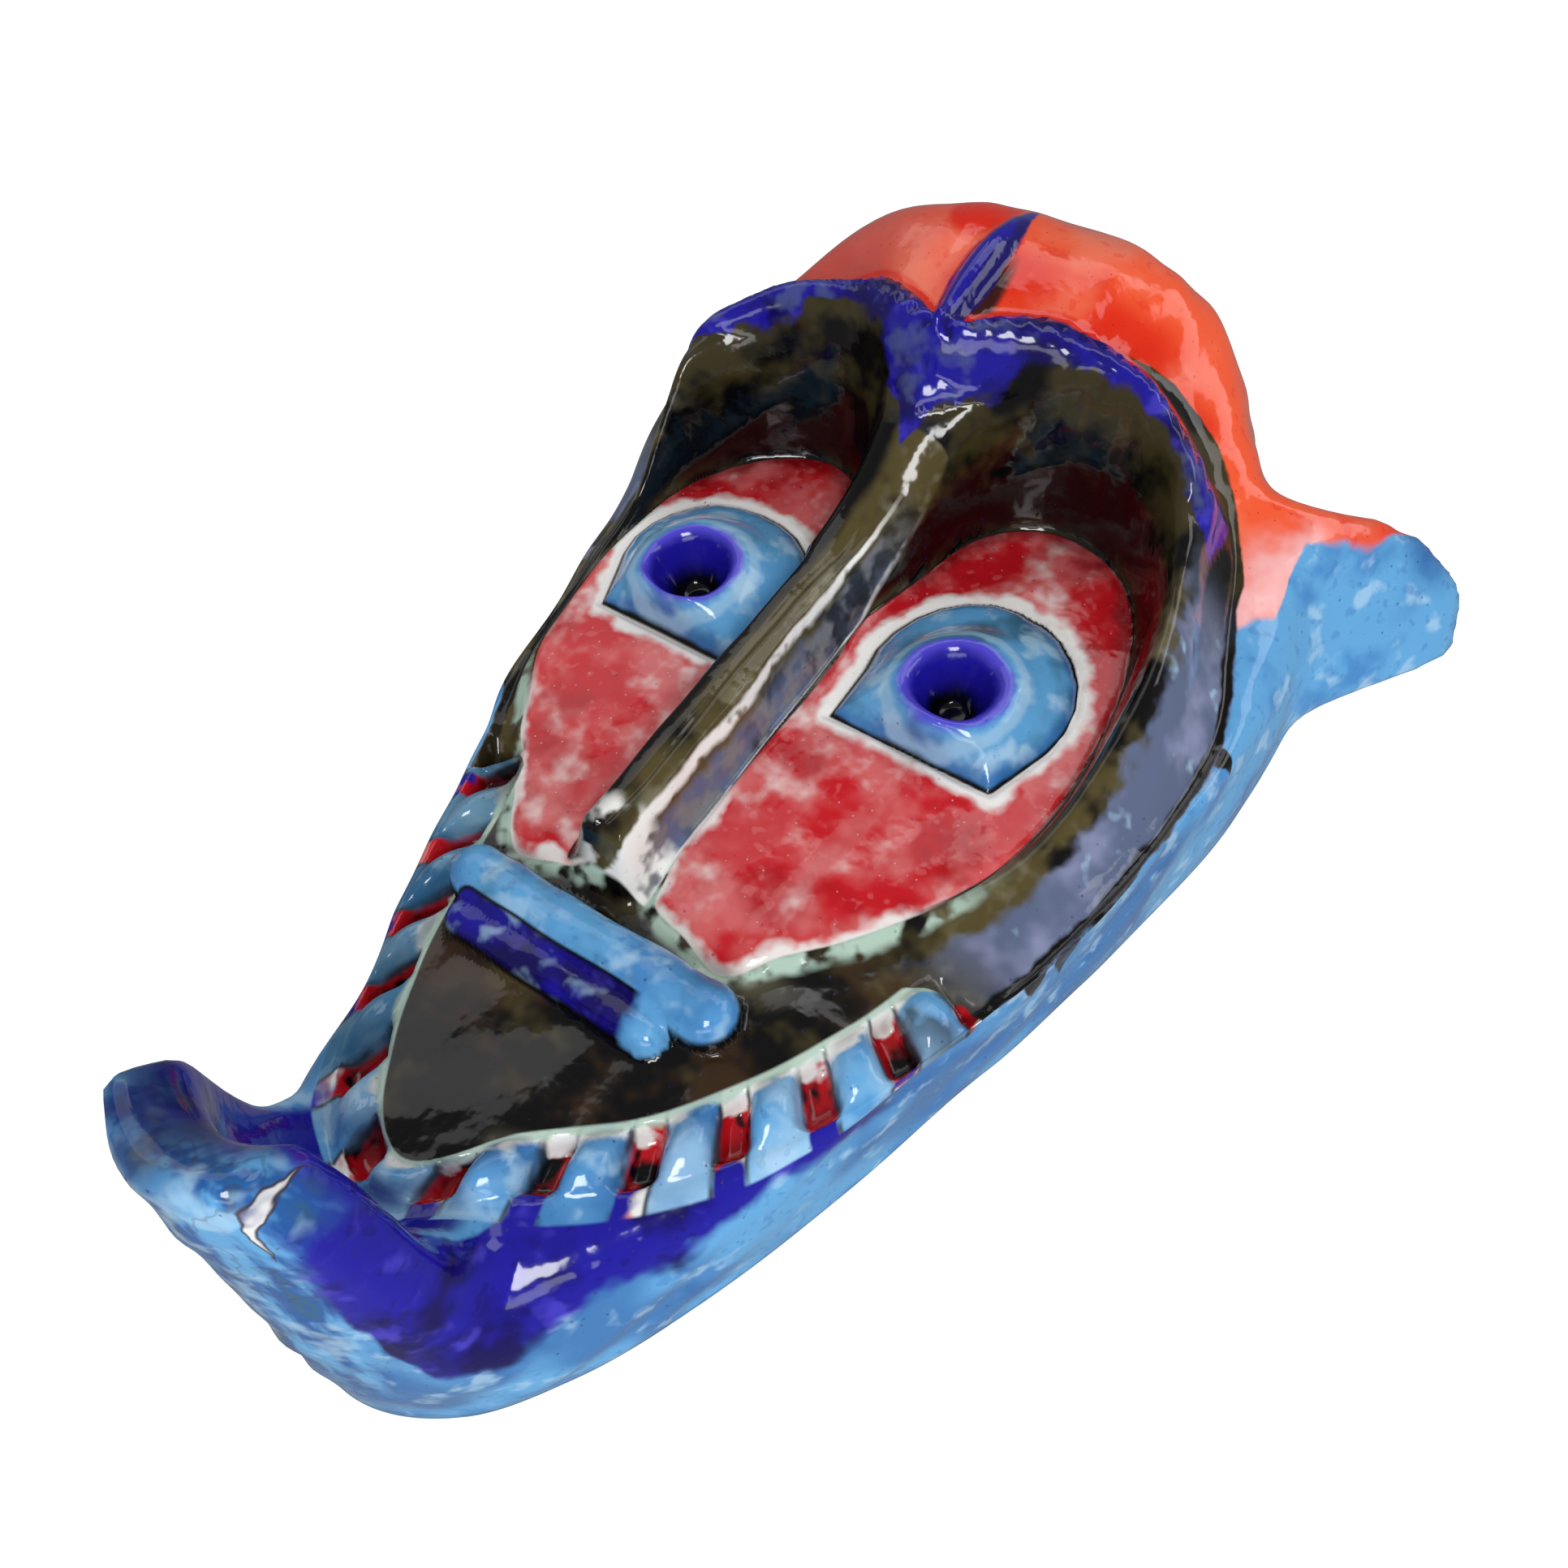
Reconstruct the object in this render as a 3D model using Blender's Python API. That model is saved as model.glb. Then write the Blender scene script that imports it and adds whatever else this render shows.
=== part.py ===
"""Ceramic wall mask: one hand-built, glazed clay shell with an open, hollow back.

The mask lies on its back rim. +Z points out of the face, +Y towards the crown and -Y towards the up-curled
chin. Its form is worked out on a polar grid. Each ray starts in the middle of the face, crosses the face to
its edge, rolls over the side wall down to the flat back rim, steps in by the wall's thickness and comes back
along the hollow side. Lengths in this file are millimetres, and the mesh is written in metres.
"""
import math

import bmesh
import bpy
import numpy as np

MM = 0.001

# Overall sizes
WALL = 9.0                  # clay thickness at the back rim and under the face
FACE_HEIGHT = 51.0          # from the back rim to the flat cheeks
BROW_HEIGHT = 104.0         # from the back rim to the crest of the brow over the nose
BROW_FALL = 15.0            # how much lower the brow lies at its ends
BROW_HALF = 78.0            # half the brow's length
MIDDLE = (0.0, -20.0)       # where the rays of the grid start, on the nose
BROW_TILT = 0.1             # how much the crown and brow rise towards the +X side
TILT_SPAN = (10.0, 80.0)    # y over which that sets in

# Outline of the face: y, half width on the +X side, half width on the -X side, height
FACE_EDGE = (
    (77, 0, 0, 108), (88, 25, 24, 105), (98, 43, 40, 98), (96, 66, 65, 84), (80, 85, 82, 69),
    (60, 96, 83, 58), (36, 107, 82, 48), (8, 107, 79, 46), (-26, 102, 72, 46), (-54, 94, 65, 46),
    (-88, 81, 52, 48), (-115, 65, 43, 47), (-139, 44, 33, 48), (-154, 24, 23, 50), (-167, 2, 2, 53),
)
# Outline of the back rim: y, half width on the +X side, half width on the -X side
BACK_RIM = (
    (169, 4, 4), (154, 51, 32), (136, 71, 56), (110, 88, 70), (80, 115, 98), (45, 117, 93),
    (14, 111, 86), (-20, 103, 79), (-55, 93, 69), (-91, 82, 58), (-115, 74, 48), (-143, 63, 37),
    (-172, 48, 35), (-193, 31, 18), (-205, 3, 3),
)
WALL_ROUNDING = 2.8         # exponent of the wall's rounded profile
CROWN_ROUNDING = 2.42       # the same over the forehead dome
CROWN_SWELL = 14.5          # how much the forehead dome bulges above that profile
DOME_SPAN = (0.85, 1.0)     # sine of the direction, over which that bulge sets in from the sides
DOME_LEAN = -0.45           # how much more it bulges towards the +X side

# Up-curled chin: distance out from the face edge and height, at the middle of the chin
CHIN_RUN = (
    (0, 53), (3, 54), (8, 64), (10, 90), (6, 116), (13, 126), (18, 125), (22, 109), (29, 68), (36, 24), (39, 0),
)
CHIN_REACH = 39.0           # plan distance from the face edge to the rim that CHIN_RUN is drawn for
CHIN_ANGLES = (5.3, 14.0)   # half widths of the chin's tip and of its foot, in degrees about MIDDLE
CHIN_DIRECTION = -89.3

# Ears
EAR_DIRECTIONS = (42.0, 130.5)
EAR_LEAN = 5.6              # how far, in degrees, each ear's top leans towards the crown
EAR_REACH = 45.0            # how far they stand out
EAR_FRONT = 9.0             # spread of the ear on its cheek side
EAR_BACK = 11.0             # spread of the ear on its crown side
EAR_LOW = (7.0, 18.0)       # heights where the ear's underside starts and ends
EAR_HIGH = (30.0, 94.0)     # heights where the ear's top starts and ends

# Cheek panels, sunk between the nose and the brow: distance from EYES_MIDDLE, y
PANEL = (
    (7, -76), (6, 8), (4, 38), (12, 61), (32, 75), (54, 71), (69, 57), (77, 38), (80, 12), (79, -12), (73, -33),
    (55, -60), (43, -73), (33, -84), (20, -81),
)
PANEL_NARROWING = 0.08      # how much narrower the outer part of the -X panel is
PANEL_SLOPE = 12.0
SOCKET_SLOPE = 13.0         # from the steep wall under the brow over its rounded lip
LIP_ROUNDING = 4.2

# Nose
NOSE_CENTRE = -4.5
EYES_MIDDLE = 2.0           # x that the eyes and cheek panels are mirrored about
NOSE_BASE_HALF = 12.0
NOSE_TOP_HALF = 7.0
NOSE_HEIGHT = 67.0
NOSE_ROUND = 4.0            # how much its crest is rounded
SOCKET_CORNER = 9.0         # rounding between the nose and the wall under the brow
NOSE_END = -79.0
FOREHEAD_SPAN = (56.0, 86.0)  # y over which the side ridges pass into the brow's crest

# Eyes
EYE_CENTRE = (42.0, 17.0)
EYE_RADIUS = 28.5
EYE_CORNERS = ((15.0, -9.0), (63.0, -9.0))
EYE_RISE = 11.0
PUPIL_CENTRE = (42.0, 9.5)
PUPIL_RADIUS = 13.5
PUPIL_DEPTH = 15.0

# Mouth rolls: x from, x to, y, height of the axis, radius
MOUTH_ROLLS = ((-31.0, 39.0, -95.0, 51.0, 8.0), (-27.0, 29.0, -105.5, 49.5, 5.5))
SNOUT_HEIGHT = 48.0
SNOUT_TIP_RISE = 7.0
SNOUT_TIP_SPAN = (-160.0, -110.0)  # y over which the snout's tip rises

# Brow ropes and forehead spike
ROPE_HALF = 7.5
ROPE_RISE = 5.5
ROPE_LOW = 69.0             # y of the ropes where they meet over the nose
ROPE_HIGH = 87.0            # y of the ropes at their highest
ROPE_ARCH = 40.0            # distance from the nose to where they are highest
ROPE_DROOP = 17.0           # how far their outer ends hang
SPIKE_FROM = 72.0
SPIKE_TO = 130.0
SPIKE_TAPER = 30.0          # length over which it sinks into the crown at its tip
SPIKE_HALF = 5.5
SPIKE_RISE = 5.0

# Mouth: a groove just inside the face edge, bridged by teeth
GROOVE_WIDTH = 16.0
CHIN_GROOVE_WIDTH = 9.0
GROOVE_DEPTH = 7.0
MOUTH_CORNER = -56.0        # y where the groove ends on both sides
TOOTH_PITCH = 20.5
TOOTH_START = 2.5           # the first tooth's middle, this far from the chin towards +X
TOOTH_WIDTH = 14.0
TOOTH_COUNT = 8             # on each side of the first tooth
TOOTH_SWELL = 4.0

# Hollow back
HOLLOW_FACE = FACE_HEIGHT - PUPIL_DEPTH + EYE_RISE - WALL
HOLLOW_JAW = SNOUT_HEIGHT - GROOVE_DEPTH - WALL
HOLLOW_JAW_SPAN = (-60.0, -30.0)  # y over which the hollow deepens from the jaw to the face
HOLLOW_BROW_SPAN = (86.0, 106.0)  # y over which it deepens under the brow
HOLLOW_BROW_GAP = 13.0      # clay between the brow's crest and the hollow

# Grid and final faceting
RAYS = 400
FACE_STEPS = 76
WALL_STEPS = 46
HOLLOW_STEPS = 20
TRIANGLES = 9600


def ramp(low, high, value):
    """Smooth step: 0 below low, 1 above high, and a cubic between."""
    t = np.clip((value - low) / (high - low), 0.0, 1.0)
    return t * t * (3.0 - 2.0 * t)


def turn_between(angle, direction):
    """Smallest signed turn from direction to angle, in radians."""
    return np.angle(np.exp(1j * (angle - direction)))


def outline_points(rows):
    """Points of a closed outline from rows of y, +X half width, -X half width and any heights."""
    points = []
    for y, plus_x, minus_x, *rest in rows:
        points.append((plus_x, y, *rest))
        if minus_x > 3:
            points.append((-minus_x, y, *rest))
    return np.array(points, dtype=float)


def closed_curve(angles, values, at):
    """Periodic cubic through values at angles; its slopes are limited, so that it never overshoots."""
    order = np.argsort(angles)
    a = angles[order]
    v = values[order]
    a = np.concatenate([a[-2:] - 2 * math.pi, a, a[:2] + 2 * math.pi])
    v = np.concatenate([v[-2:], v, v[:2]])
    step = np.diff(a)
    rise = np.diff(v) / step
    slope = np.zeros_like(v)
    mean = (rise[1:] * step[:-1] + rise[:-1] * step[1:]) / (step[1:] + step[:-1])
    most = 3 * np.minimum(np.abs(rise[1:]), np.abs(rise[:-1]))
    slope[1:-1] = np.where(rise[1:] * rise[:-1] > 0, np.clip(mean, -most, most), 0.0)
    return hermite(a, v, slope, at)


def hermite(knots, values, slopes, at):
    """Cubic with given values and slopes at its knots; values may have one or more columns."""
    i = np.clip(np.searchsorted(knots, at) - 1, 0, len(knots) - 2)
    span = knots[i + 1] - knots[i]
    t = (at - knots[i]) / span
    if values.ndim > 1:
        span = span[..., None]
        t = t[..., None]
    return ((1 + 2 * t) * (1 - t) ** 2 * values[i] + t * (1 - t) ** 2 * span * slopes[i]
            + t * t * (3 - 2 * t) * values[i + 1] + t * t * (t - 1) * span * slopes[i + 1])


def path_through(points, at):
    """Smooth path through points, with at running from 0 to 1 along it."""
    p = np.array(points, dtype=float)
    length = np.linalg.norm(np.diff(p, axis=0), axis=1) ** 0.75
    knots = np.concatenate([[0.0], np.cumsum(length)]) / length.sum()
    slopes = np.empty_like(p)
    slopes[1:-1] = (p[2:] - p[:-2]) / (knots[2:] - knots[:-2])[:, None]
    slopes[0] = (p[1] - p[0]) / (knots[1] - knots[0])
    slopes[-1] = (p[-1] - p[-2]) / (knots[-1] - knots[-2])
    return hermite(knots, p, slopes, at)


def smooth_loop(points, steps=5):
    """Closed polygon that runs smoothly through points, each bend shared between its two sides."""
    p = np.array(points, dtype=float)
    side = np.roll(p, -1, axis=0) - p
    length = np.linalg.norm(side, axis=1)[:, None]
    lean = np.roll(p, -1, axis=0) - np.roll(p, 1, axis=0)
    lean = lean / np.linalg.norm(lean, axis=1)[:, None]
    t = (np.arange(steps) / steps)[:, None, None]
    curve = ((1 + 2 * t) * (1 - t) ** 2 * p + t * (1 - t) ** 2 * length * lean
             + t * t * (3 - 2 * t) * (p + side) + t * t * (t - 1) * length * np.roll(lean, -1, axis=0))
    return [tuple(point) for point in curve.transpose(1, 0, 2).reshape(-1, 2).tolist()]


def outline_radius(rows, angle):
    """Distance from MIDDLE to an outline at each angle, and the outline's height there if it has one."""
    points = outline_points(rows)
    dx = points[:, 0] - MIDDLE[0]
    dy = points[:, 1] - MIDDLE[1]
    angles = np.mod(np.arctan2(dy, dx), 2 * math.pi)
    radius = closed_curve(angles, np.hypot(dx, dy), angle)
    if points.shape[1] == 2:
        return radius, None
    return radius, closed_curve(angles, points[:, 2], angle)


def distance_to_polygon(x, y, corners):
    """Signed distance to a closed polygon, negative inside it."""
    nearest = np.full(x.shape, 1e6)
    inside = np.zeros(x.shape, dtype=bool)
    for (ax, ay), (bx, by) in zip(corners, list(corners[1:]) + [corners[0]]):
        along = ((x - ax) * (bx - ax) + (y - ay) * (by - ay)) / ((bx - ax) ** 2 + (by - ay) ** 2)
        along = np.clip(along, 0.0, 1.0)
        nearest = np.minimum(nearest, np.hypot(x - ax - along * (bx - ax), y - ay - along * (by - ay)))
        if ay != by:
            crosses = ((ay > y) != (by > y)) & (x < ax + (y - ay) * (bx - ax) / (by - ay))
            inside ^= crosses
    return np.where(inside, -nearest, nearest)


def brow_crest(x):
    """Height of the brow across the forehead, an arch that falls towards its ends."""
    return BROW_HEIGHT - BROW_FALL * (np.abs(x) / BROW_HALF) ** 3


def rope_middle(x):
    """y of the brow ropes: a V over the nose that rises into two flat arches."""
    lift = np.sin(np.clip(np.abs(x) / ROPE_ARCH, 0.0, 1.0) * math.pi / 2)
    return ROPE_LOW + (ROPE_HIGH - ROPE_LOW) * lift - ROPE_DROOP * ramp(ROPE_ARCH, BROW_HALF + 8, np.abs(x))


def eyes_apart(x):
    """Distance from the line that the eyes and cheek panels are mirrored about."""
    return np.abs(x - EYES_MIDDLE)


def eye_outline():
    """Corners of one eye: a round lid closed by a straight lower edge."""
    turns = np.radians(np.linspace(-15, 195, 15))
    arc = [(EYE_CENTRE[0] + EYE_RADIUS * math.cos(t), EYE_CENTRE[1] + EYE_RADIUS * math.sin(t)) for t in turns]
    return [EYE_CORNERS[1]] + arc + [EYE_CORNERS[0]]


def panel_away(x, y):
    """Signed distance to the cheek panels, negative inside them."""
    apart = eyes_apart(x)
    narrow = 1 + PANEL_NARROWING * ramp(20, 60, apart) * (x < 0)
    return distance_to_polygon(apart * narrow, y, smooth_loop(PANEL))


def nose_off(x, y):
    """Distance across the nose from its crest, which leans to -X below the brow."""
    return x - NOSE_CENTRE * (1 - ramp(20, 60, y))


def nose_crest(y):
    """Height of the nose's crest, which climbs to the brow."""
    return NOSE_HEIGHT + (BROW_HEIGHT - 6 - NOSE_HEIGHT) * ramp(26, 84, y)


def socket_away(x, y):
    """Distance from the open cheek panels and sockets, with the nose's side rounded into the sockets' wall."""
    away = panel_away(x, y)
    beside = NOSE_BASE_HALF - np.abs(nose_off(x, y))
    corner = SOCKET_CORNER * ramp(15, 50, y)
    joined = (away + beside + np.hypot(away - beside, corner)) / 2
    return away + (joined - away) * ramp(10, 30, y)


def cheeks_and_brow(x, y, edge_height, inward, away):
    """The broad face: side ridges, brow, sunken cheek panels and the level snout below them."""
    a = np.abs(x)
    crest = brow_crest(x)
    ridge = (np.maximum(crest, FACE_HEIGHT) - FACE_HEIGHT + 4) * ramp(-60, 80, y) * ramp(25, 75, a)
    ridge = FACE_HEIGHT - 4 + ridge
    forehead = ramp(*FOREHEAD_SPAN, y)
    land = ridge * (1 - forehead) + crest * forehead
    land = land + (edge_height - land) * (1 - ramp(0, 22, inward))
    bridge = (1 - ramp(14, 34, np.abs(nose_off(x, y)))) * ramp(10, 30, y)
    land = land + np.clip(nose_crest(y) - land, 0, None) * bridge
    slope = PANEL_SLOPE + (SOCKET_SLOPE - PANEL_SLOPE) * ramp(30, 60, y)
    sunk = (1 - np.clip(away / slope, 0, 1)) ** LIP_ROUNDING
    height = FACE_HEIGHT * sunk + land * (1 - sunk)
    below = 1 - ramp(-86, -74, y)
    tip = SNOUT_TIP_RISE * (1 - ramp(*SNOUT_TIP_SPAN, y)) * np.exp(-(x / 45) ** 2)
    return height * (1 - below) + (SNOUT_HEIGHT + tip) * below


def nose(x, y, face):
    """A long ridge with steep sides, from the brow down to a blunt end over the mouth."""
    crest = nose_crest(y)
    off = np.abs(nose_off(x, y))
    side = 1 - ramp(NOSE_TOP_HALF - 2, NOSE_BASE_HALF, off)
    end = ramp(NOSE_END - 4, NOSE_END + 6, y)
    crown = NOSE_ROUND * (0.5 - (off / NOSE_BASE_HALF) ** 2)
    return np.maximum(face, face + (crest + crown - face) * side * end)


def eyes(x, y, face, inside, off):
    """Half-round lids with a straight lower edge, each around a deep round pupil."""
    inside = np.clip(inside, 0, None)
    lid = ramp(0, 1, inside / (inside + np.clip(off - PUPIL_RADIUS, 0, None) + 1e-6))
    bowl = 1 - ramp(PUPIL_RADIUS * 0.25, PUPIL_RADIUS, off)
    return face + EYE_RISE * lid - PUPIL_DEPTH * bowl


def roll_off(x, y, roll):
    """Distance from the axis of one mouth roll."""
    start, end, middle, axis, radius = roll
    return np.hypot(x - np.clip(x, start, end), y - middle)


def mouth_rolls(x, y, face):
    """Two round rolls of clay laid across the snout under the nose."""
    height = face
    for roll in MOUTH_ROLLS:
        off = roll_off(x, y, roll)
        top = roll[3] + np.sqrt(np.clip(roll[4] ** 2 - off ** 2, 0, None))
        height = np.where(off < roll[4], np.maximum(height, top), height)
    return height


def brow_ropes(x, y, face):
    """Raised rolls along the brow, meeting in a V over the nose."""
    off = np.abs(y - rope_middle(x)) / ROPE_HALF
    ends = 1 - ramp(BROW_HALF, BROW_HALF + 7, np.abs(x))
    return face + ROPE_RISE * np.sqrt(np.clip(1 - off ** 2, 0, 1)) * ends


def mouth_places(y, inward, along):
    """Place across the mouth's groove (-1 outside to 1 inside), and distance from the nearest tooth's middle."""
    width = GROOVE_WIDTH - (GROOVE_WIDTH - CHIN_GROOVE_WIDTH) * np.exp(-(along / 18) ** 2)
    across = (inward - width / 2) / (width / 2)
    place = along - TOOTH_START
    nearest = np.abs(place - TOOTH_PITCH * np.round(place / TOOTH_PITCH))
    row = np.abs(place) < (TOOTH_COUNT + 0.5) * TOOTH_PITCH
    lower = 1 - ramp(MOUTH_CORNER - 8, MOUTH_CORNER + 2, y)
    return across, nearest, row, lower


def teeth_and_groove(y, inward, along, face):
    """A groove inside the face edge below the mouth corners, and pillow-shaped teeth that bridge it."""
    across, nearest, row, lower = mouth_places(y, inward, along)
    groove = GROOVE_DEPTH * (1 - ramp(0.55, 1.0, np.abs(across)))
    off = np.clip(nearest / (TOOTH_WIDTH / 2), 0, 1)
    tooth = (1 - off ** 3) ** 0.5 * row
    pillow = TOOTH_SWELL * tooth * np.clip(1 - across ** 2, 0, 1)
    return face + lower * (pillow - groove * (1 - tooth))


def spike_half(y):
    """Half the forehead spike's width: a leaf, widest below its middle."""
    t = np.clip((y - SPIKE_FROM) / (SPIKE_TO - SPIKE_FROM), 0.0, 1.0)
    return SPIKE_HALF * np.sin(math.pi * t ** 0.75)


def forehead_spike(x, y, height):
    """A low leaf-shaped ridge that runs up the forehead from where the ropes meet."""
    half = spike_half(y) + 0.01
    inside = (y > SPIKE_FROM) & (y < SPIKE_TO)
    taper = 1 - ramp(SPIKE_TO - SPIKE_TAPER, SPIKE_TO, y)
    return height + SPIKE_RISE * np.clip(1 - (x / half) ** 2, 0, 1) * inside * taper


def groove_length(angle):
    """Distance along the groove's middle from the chin, negative on the -X side."""
    fine = np.linspace(0, 2 * math.pi, 1441)
    radius, _ = outline_radius(FACE_EDGE, fine)
    radius = radius - GROOVE_WIDTH / 2
    steps = np.hypot(np.diff(radius * np.cos(fine)), np.diff(radius * np.sin(fine)))
    run = np.concatenate([[0.0], np.cumsum(steps)])
    start = np.interp(np.mod(math.radians(CHIN_DIRECTION), 2 * math.pi), fine, run)
    run = np.interp(np.mod(angle, 2 * math.pi), fine, run) - start
    return np.where(run < -run.max() / 1.5, run + steps.sum(), run)


def face_height(x, y, edge_height, inward, along):
    """Height of the finished face over the back rim."""
    inside = -distance_to_polygon(eyes_apart(x), y, eye_outline())
    off = np.hypot(eyes_apart(x) - PUPIL_CENTRE[0], y - PUPIL_CENTRE[1])
    height = cheeks_and_brow(x, y, edge_height, inward, socket_away(x, y))
    height = nose(x, y, height)
    height = eyes(x, y, height, inside, off)
    height = mouth_rolls(x, y, height)
    return teeth_and_groove(y, inward, along, height)


def outer_skin(angle, step):
    """Points of the glazed side: step runs 0 to 1 over the face and 1 to 2 down the wall to the rim."""
    edge, edge_height = outline_radius(FACE_EDGE, angle)
    rim, _ = outline_radius(BACK_RIM, angle)
    along = groove_length(angle)
    cos, sin = np.cos(angle), np.sin(angle)
    share = np.clip(step, 0, 1)
    down = np.clip(step - 1, 0, 1)
    radius = edge * share
    height = face_height(MIDDLE[0] + radius * cos, MIDDLE[1] + radius * sin, edge_height,
                         edge * (1 - share), along)
    at_edge = face_height(MIDDLE[0] + edge * cos, MIDDLE[1] + edge * sin, edge_height, 0 * edge, along)
    crown = ramp(0.35, 0.85, sin)
    power = 2 / (WALL_ROUNDING + (CROWN_ROUNDING - WALL_ROUNDING) * crown)
    out = np.sin(down * math.pi / 2) ** power
    up = np.cos(down * math.pi / 2) ** power
    wall_radius = edge + (rim - edge) * out
    dome = ramp(*DOME_SPAN, sin) * (1 + DOME_LEAN * cos)
    wall_height = at_edge * up + CROWN_SWELL * dome * np.sin(math.pi * np.clip(down * 1.25, 0, 1))
    # the chin curls up out of the jaw
    off = np.degrees(turn_between(angle, math.radians(CHIN_DIRECTION)))
    curl = 1 - ramp(*CHIN_ANGLES, np.abs(off))
    run = path_through(CHIN_RUN, down)
    wall_radius = wall_radius * (1 - curl) + (edge + run[..., 0] * (rim - edge) / CHIN_REACH) * curl
    wall_height = wall_height * (1 - curl) + run[..., 1] * curl
    # the ears stand out of the wall
    for direction in EAR_DIRECTIONS:
        side = 1 if direction < 90 else -1
        lean = EAR_LEAN * side * ramp(15, 60, wall_height)
        turn = turn_between(angle, np.radians(direction + lean)) * side * rim
        ear = np.where(turn < 0, np.exp(-(np.abs(turn) / EAR_FRONT) ** 2.5),
                       np.exp(-(np.abs(turn) / EAR_BACK) ** 1.8))
        level = ramp(*EAR_LOW, wall_height) * (1 - ramp(*EAR_HIGH, wall_height))
        wall_radius = wall_radius + EAR_REACH * ear * level
    radius = np.where(step > 1, wall_radius, radius)
    height = np.where(step > 1, wall_height, height)
    x = MIDDLE[0] + radius * cos
    y = MIDDLE[1] + radius * sin
    height = forehead_spike(x, y, brow_ropes(x, y, height))
    return tilted(x, y, height)


def tilted(x, y, z):
    """Points with the brow and crown sheared up on the +X side, as the uneven hand-built mask has them."""
    return np.stack([x, y + BROW_TILT * x * ramp(*TILT_SPAN, y), z], axis=-1)


def hollow_skin(angle, share):
    """Points of the plain hollow side: share runs from 1 at the rim to 0 under the middle of the face."""
    rim, _ = outline_radius(BACK_RIM, angle)
    swing = (outline_radius(BACK_RIM, angle + 0.01)[0] - outline_radius(BACK_RIM, angle - 0.01)[0]) / 0.02
    radius = (rim - WALL * np.hypot(1, swing / rim)) * share
    x = MIDDLE[0] + radius * np.cos(angle)
    y = MIDDLE[1] + radius * np.sin(angle)
    ceiling = HOLLOW_JAW + (HOLLOW_FACE - HOLLOW_JAW) * ramp(*HOLLOW_JAW_SPAN, y)
    brow = brow_crest(x) - HOLLOW_BROW_GAP
    ceiling = ceiling + (np.maximum(brow, HOLLOW_FACE) - HOLLOW_FACE) * ramp(*HOLLOW_BROW_SPAN, y)
    crown = ramp(0.35, 0.85, np.sin(angle))
    power = 8.0 - 5.0 * crown
    return tilted(x, y, ceiling * np.clip(1 - share ** power, 0, 1) ** (1 / power))


def mask_grid():
    """All points as rings, from the middle of the face round the rim to the middle of the hollow."""
    angle = np.arange(RAYS) * 2 * math.pi / RAYS
    face = np.linspace(0, 1, FACE_STEPS + 1)[1:]
    wall = 1 + np.linspace(0, 1, WALL_STEPS + 1)[1:]
    angles, steps = np.meshgrid(angle, np.concatenate([face, wall]))
    glazed = outer_skin(angles, steps)
    glazed[-1, :, 2] = 0.0
    angles, shares = np.meshgrid(angle, np.linspace(1, 0, HOLLOW_STEPS + 1)[:-1] ** 0.5)
    hollow = hollow_skin(angles, shares)
    hollow[0, :, 2] = 0.0
    top = outer_skin(np.zeros(1), np.zeros(1))
    under = hollow_skin(np.zeros(1), np.zeros(1))
    return np.concatenate([glazed, hollow]), top, under


def build_mesh(name):
    """Closed mesh: a fan at each middle and a quad between each two rings and rays."""
    rings, top, under = mask_grid()
    count = rings.shape[0]
    points = np.concatenate([rings.reshape(-1, 3), top, under])
    centre = (points.min(axis=0) + points.max(axis=0)) / 2
    points = points - np.array([centre[0], centre[1], 0.0])
    ray = np.arange(RAYS)
    after = (ray + 1) % RAYS
    faces = []
    for ring in range(count - 1):
        here = ring * RAYS
        there = here + RAYS
        faces += np.stack([here + ray, there + ray, there + after, here + after], axis=1).tolist()
    faces += [(count * RAYS, a, b) for a, b in zip(ray.tolist(), after.tolist())]
    last = (count - 1) * RAYS
    faces += [(count * RAYS + 1, last + b, last + a) for a, b in zip(ray.tolist(), after.tolist())]
    mesh = bpy.data.meshes.new(name)
    mesh.from_pydata((points * MM).tolist(), [], faces)
    mesh.update()
    return mesh


def facet(mesh, name):
    """Fewer triangles where the form is plain, with the back rim kept exactly flat."""
    draft = bpy.data.objects.new(name + "_draft", mesh)
    bpy.context.scene.collection.objects.link(draft)
    thin = draft.modifiers.new("Fewer faces", "DECIMATE")
    thin.use_collapse_triangulate = True
    thin.ratio = TRIANGLES / (2 * len(mesh.polygons))
    graph = bpy.context.evaluated_depsgraph_get()
    faceted = bpy.data.meshes.new_from_object(draft.evaluated_get(graph))
    bpy.data.objects.remove(draft)
    work = bmesh.new()
    work.from_mesh(faceted)
    for vertex in work.verts:
        if vertex.co.z < 0.4 * MM:
            vertex.co.z = 0.0
    bmesh.ops.triangulate(work, faces=work.faces)
    work.to_mesh(faceted)
    work.free()
    faceted.name = name
    return faceted


def glazed_clay():
    """Plain glazed ceramic; the painted glazes are left to the finish."""
    material = bpy.data.materials.new("glazed_clay")
    material.use_nodes = True
    shader = material.node_tree.nodes["Principled BSDF"]
    shader.inputs["Base Color"].default_value = (0.18, 0.36, 0.62, 1.0)
    shader.inputs["Roughness"].default_value = 0.15
    shader.inputs["Metallic"].default_value = 0.0
    return material


def main():
    for old in list(bpy.data.objects):
        bpy.data.objects.remove(old)
    mesh = facet(build_mesh("mask_draft"), "mask")
    mesh.materials.append(glazed_clay())
    mesh.shade_smooth()
    mask = bpy.data.objects.new("mask", mesh)
    bpy.context.scene.collection.objects.link(mask)


main()
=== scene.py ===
"""Glazed ceramic wall mask, lying on its back rim: one hand-built shell with painted, fired glazes.

Run as a script, it dresses the packed clay solid: the same form is worked out again on a much finer grid,
with the cuts, beads and unevenness of hand work, and glazed by one layered shader. The form's lengths are
millimetres.
"""

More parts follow.
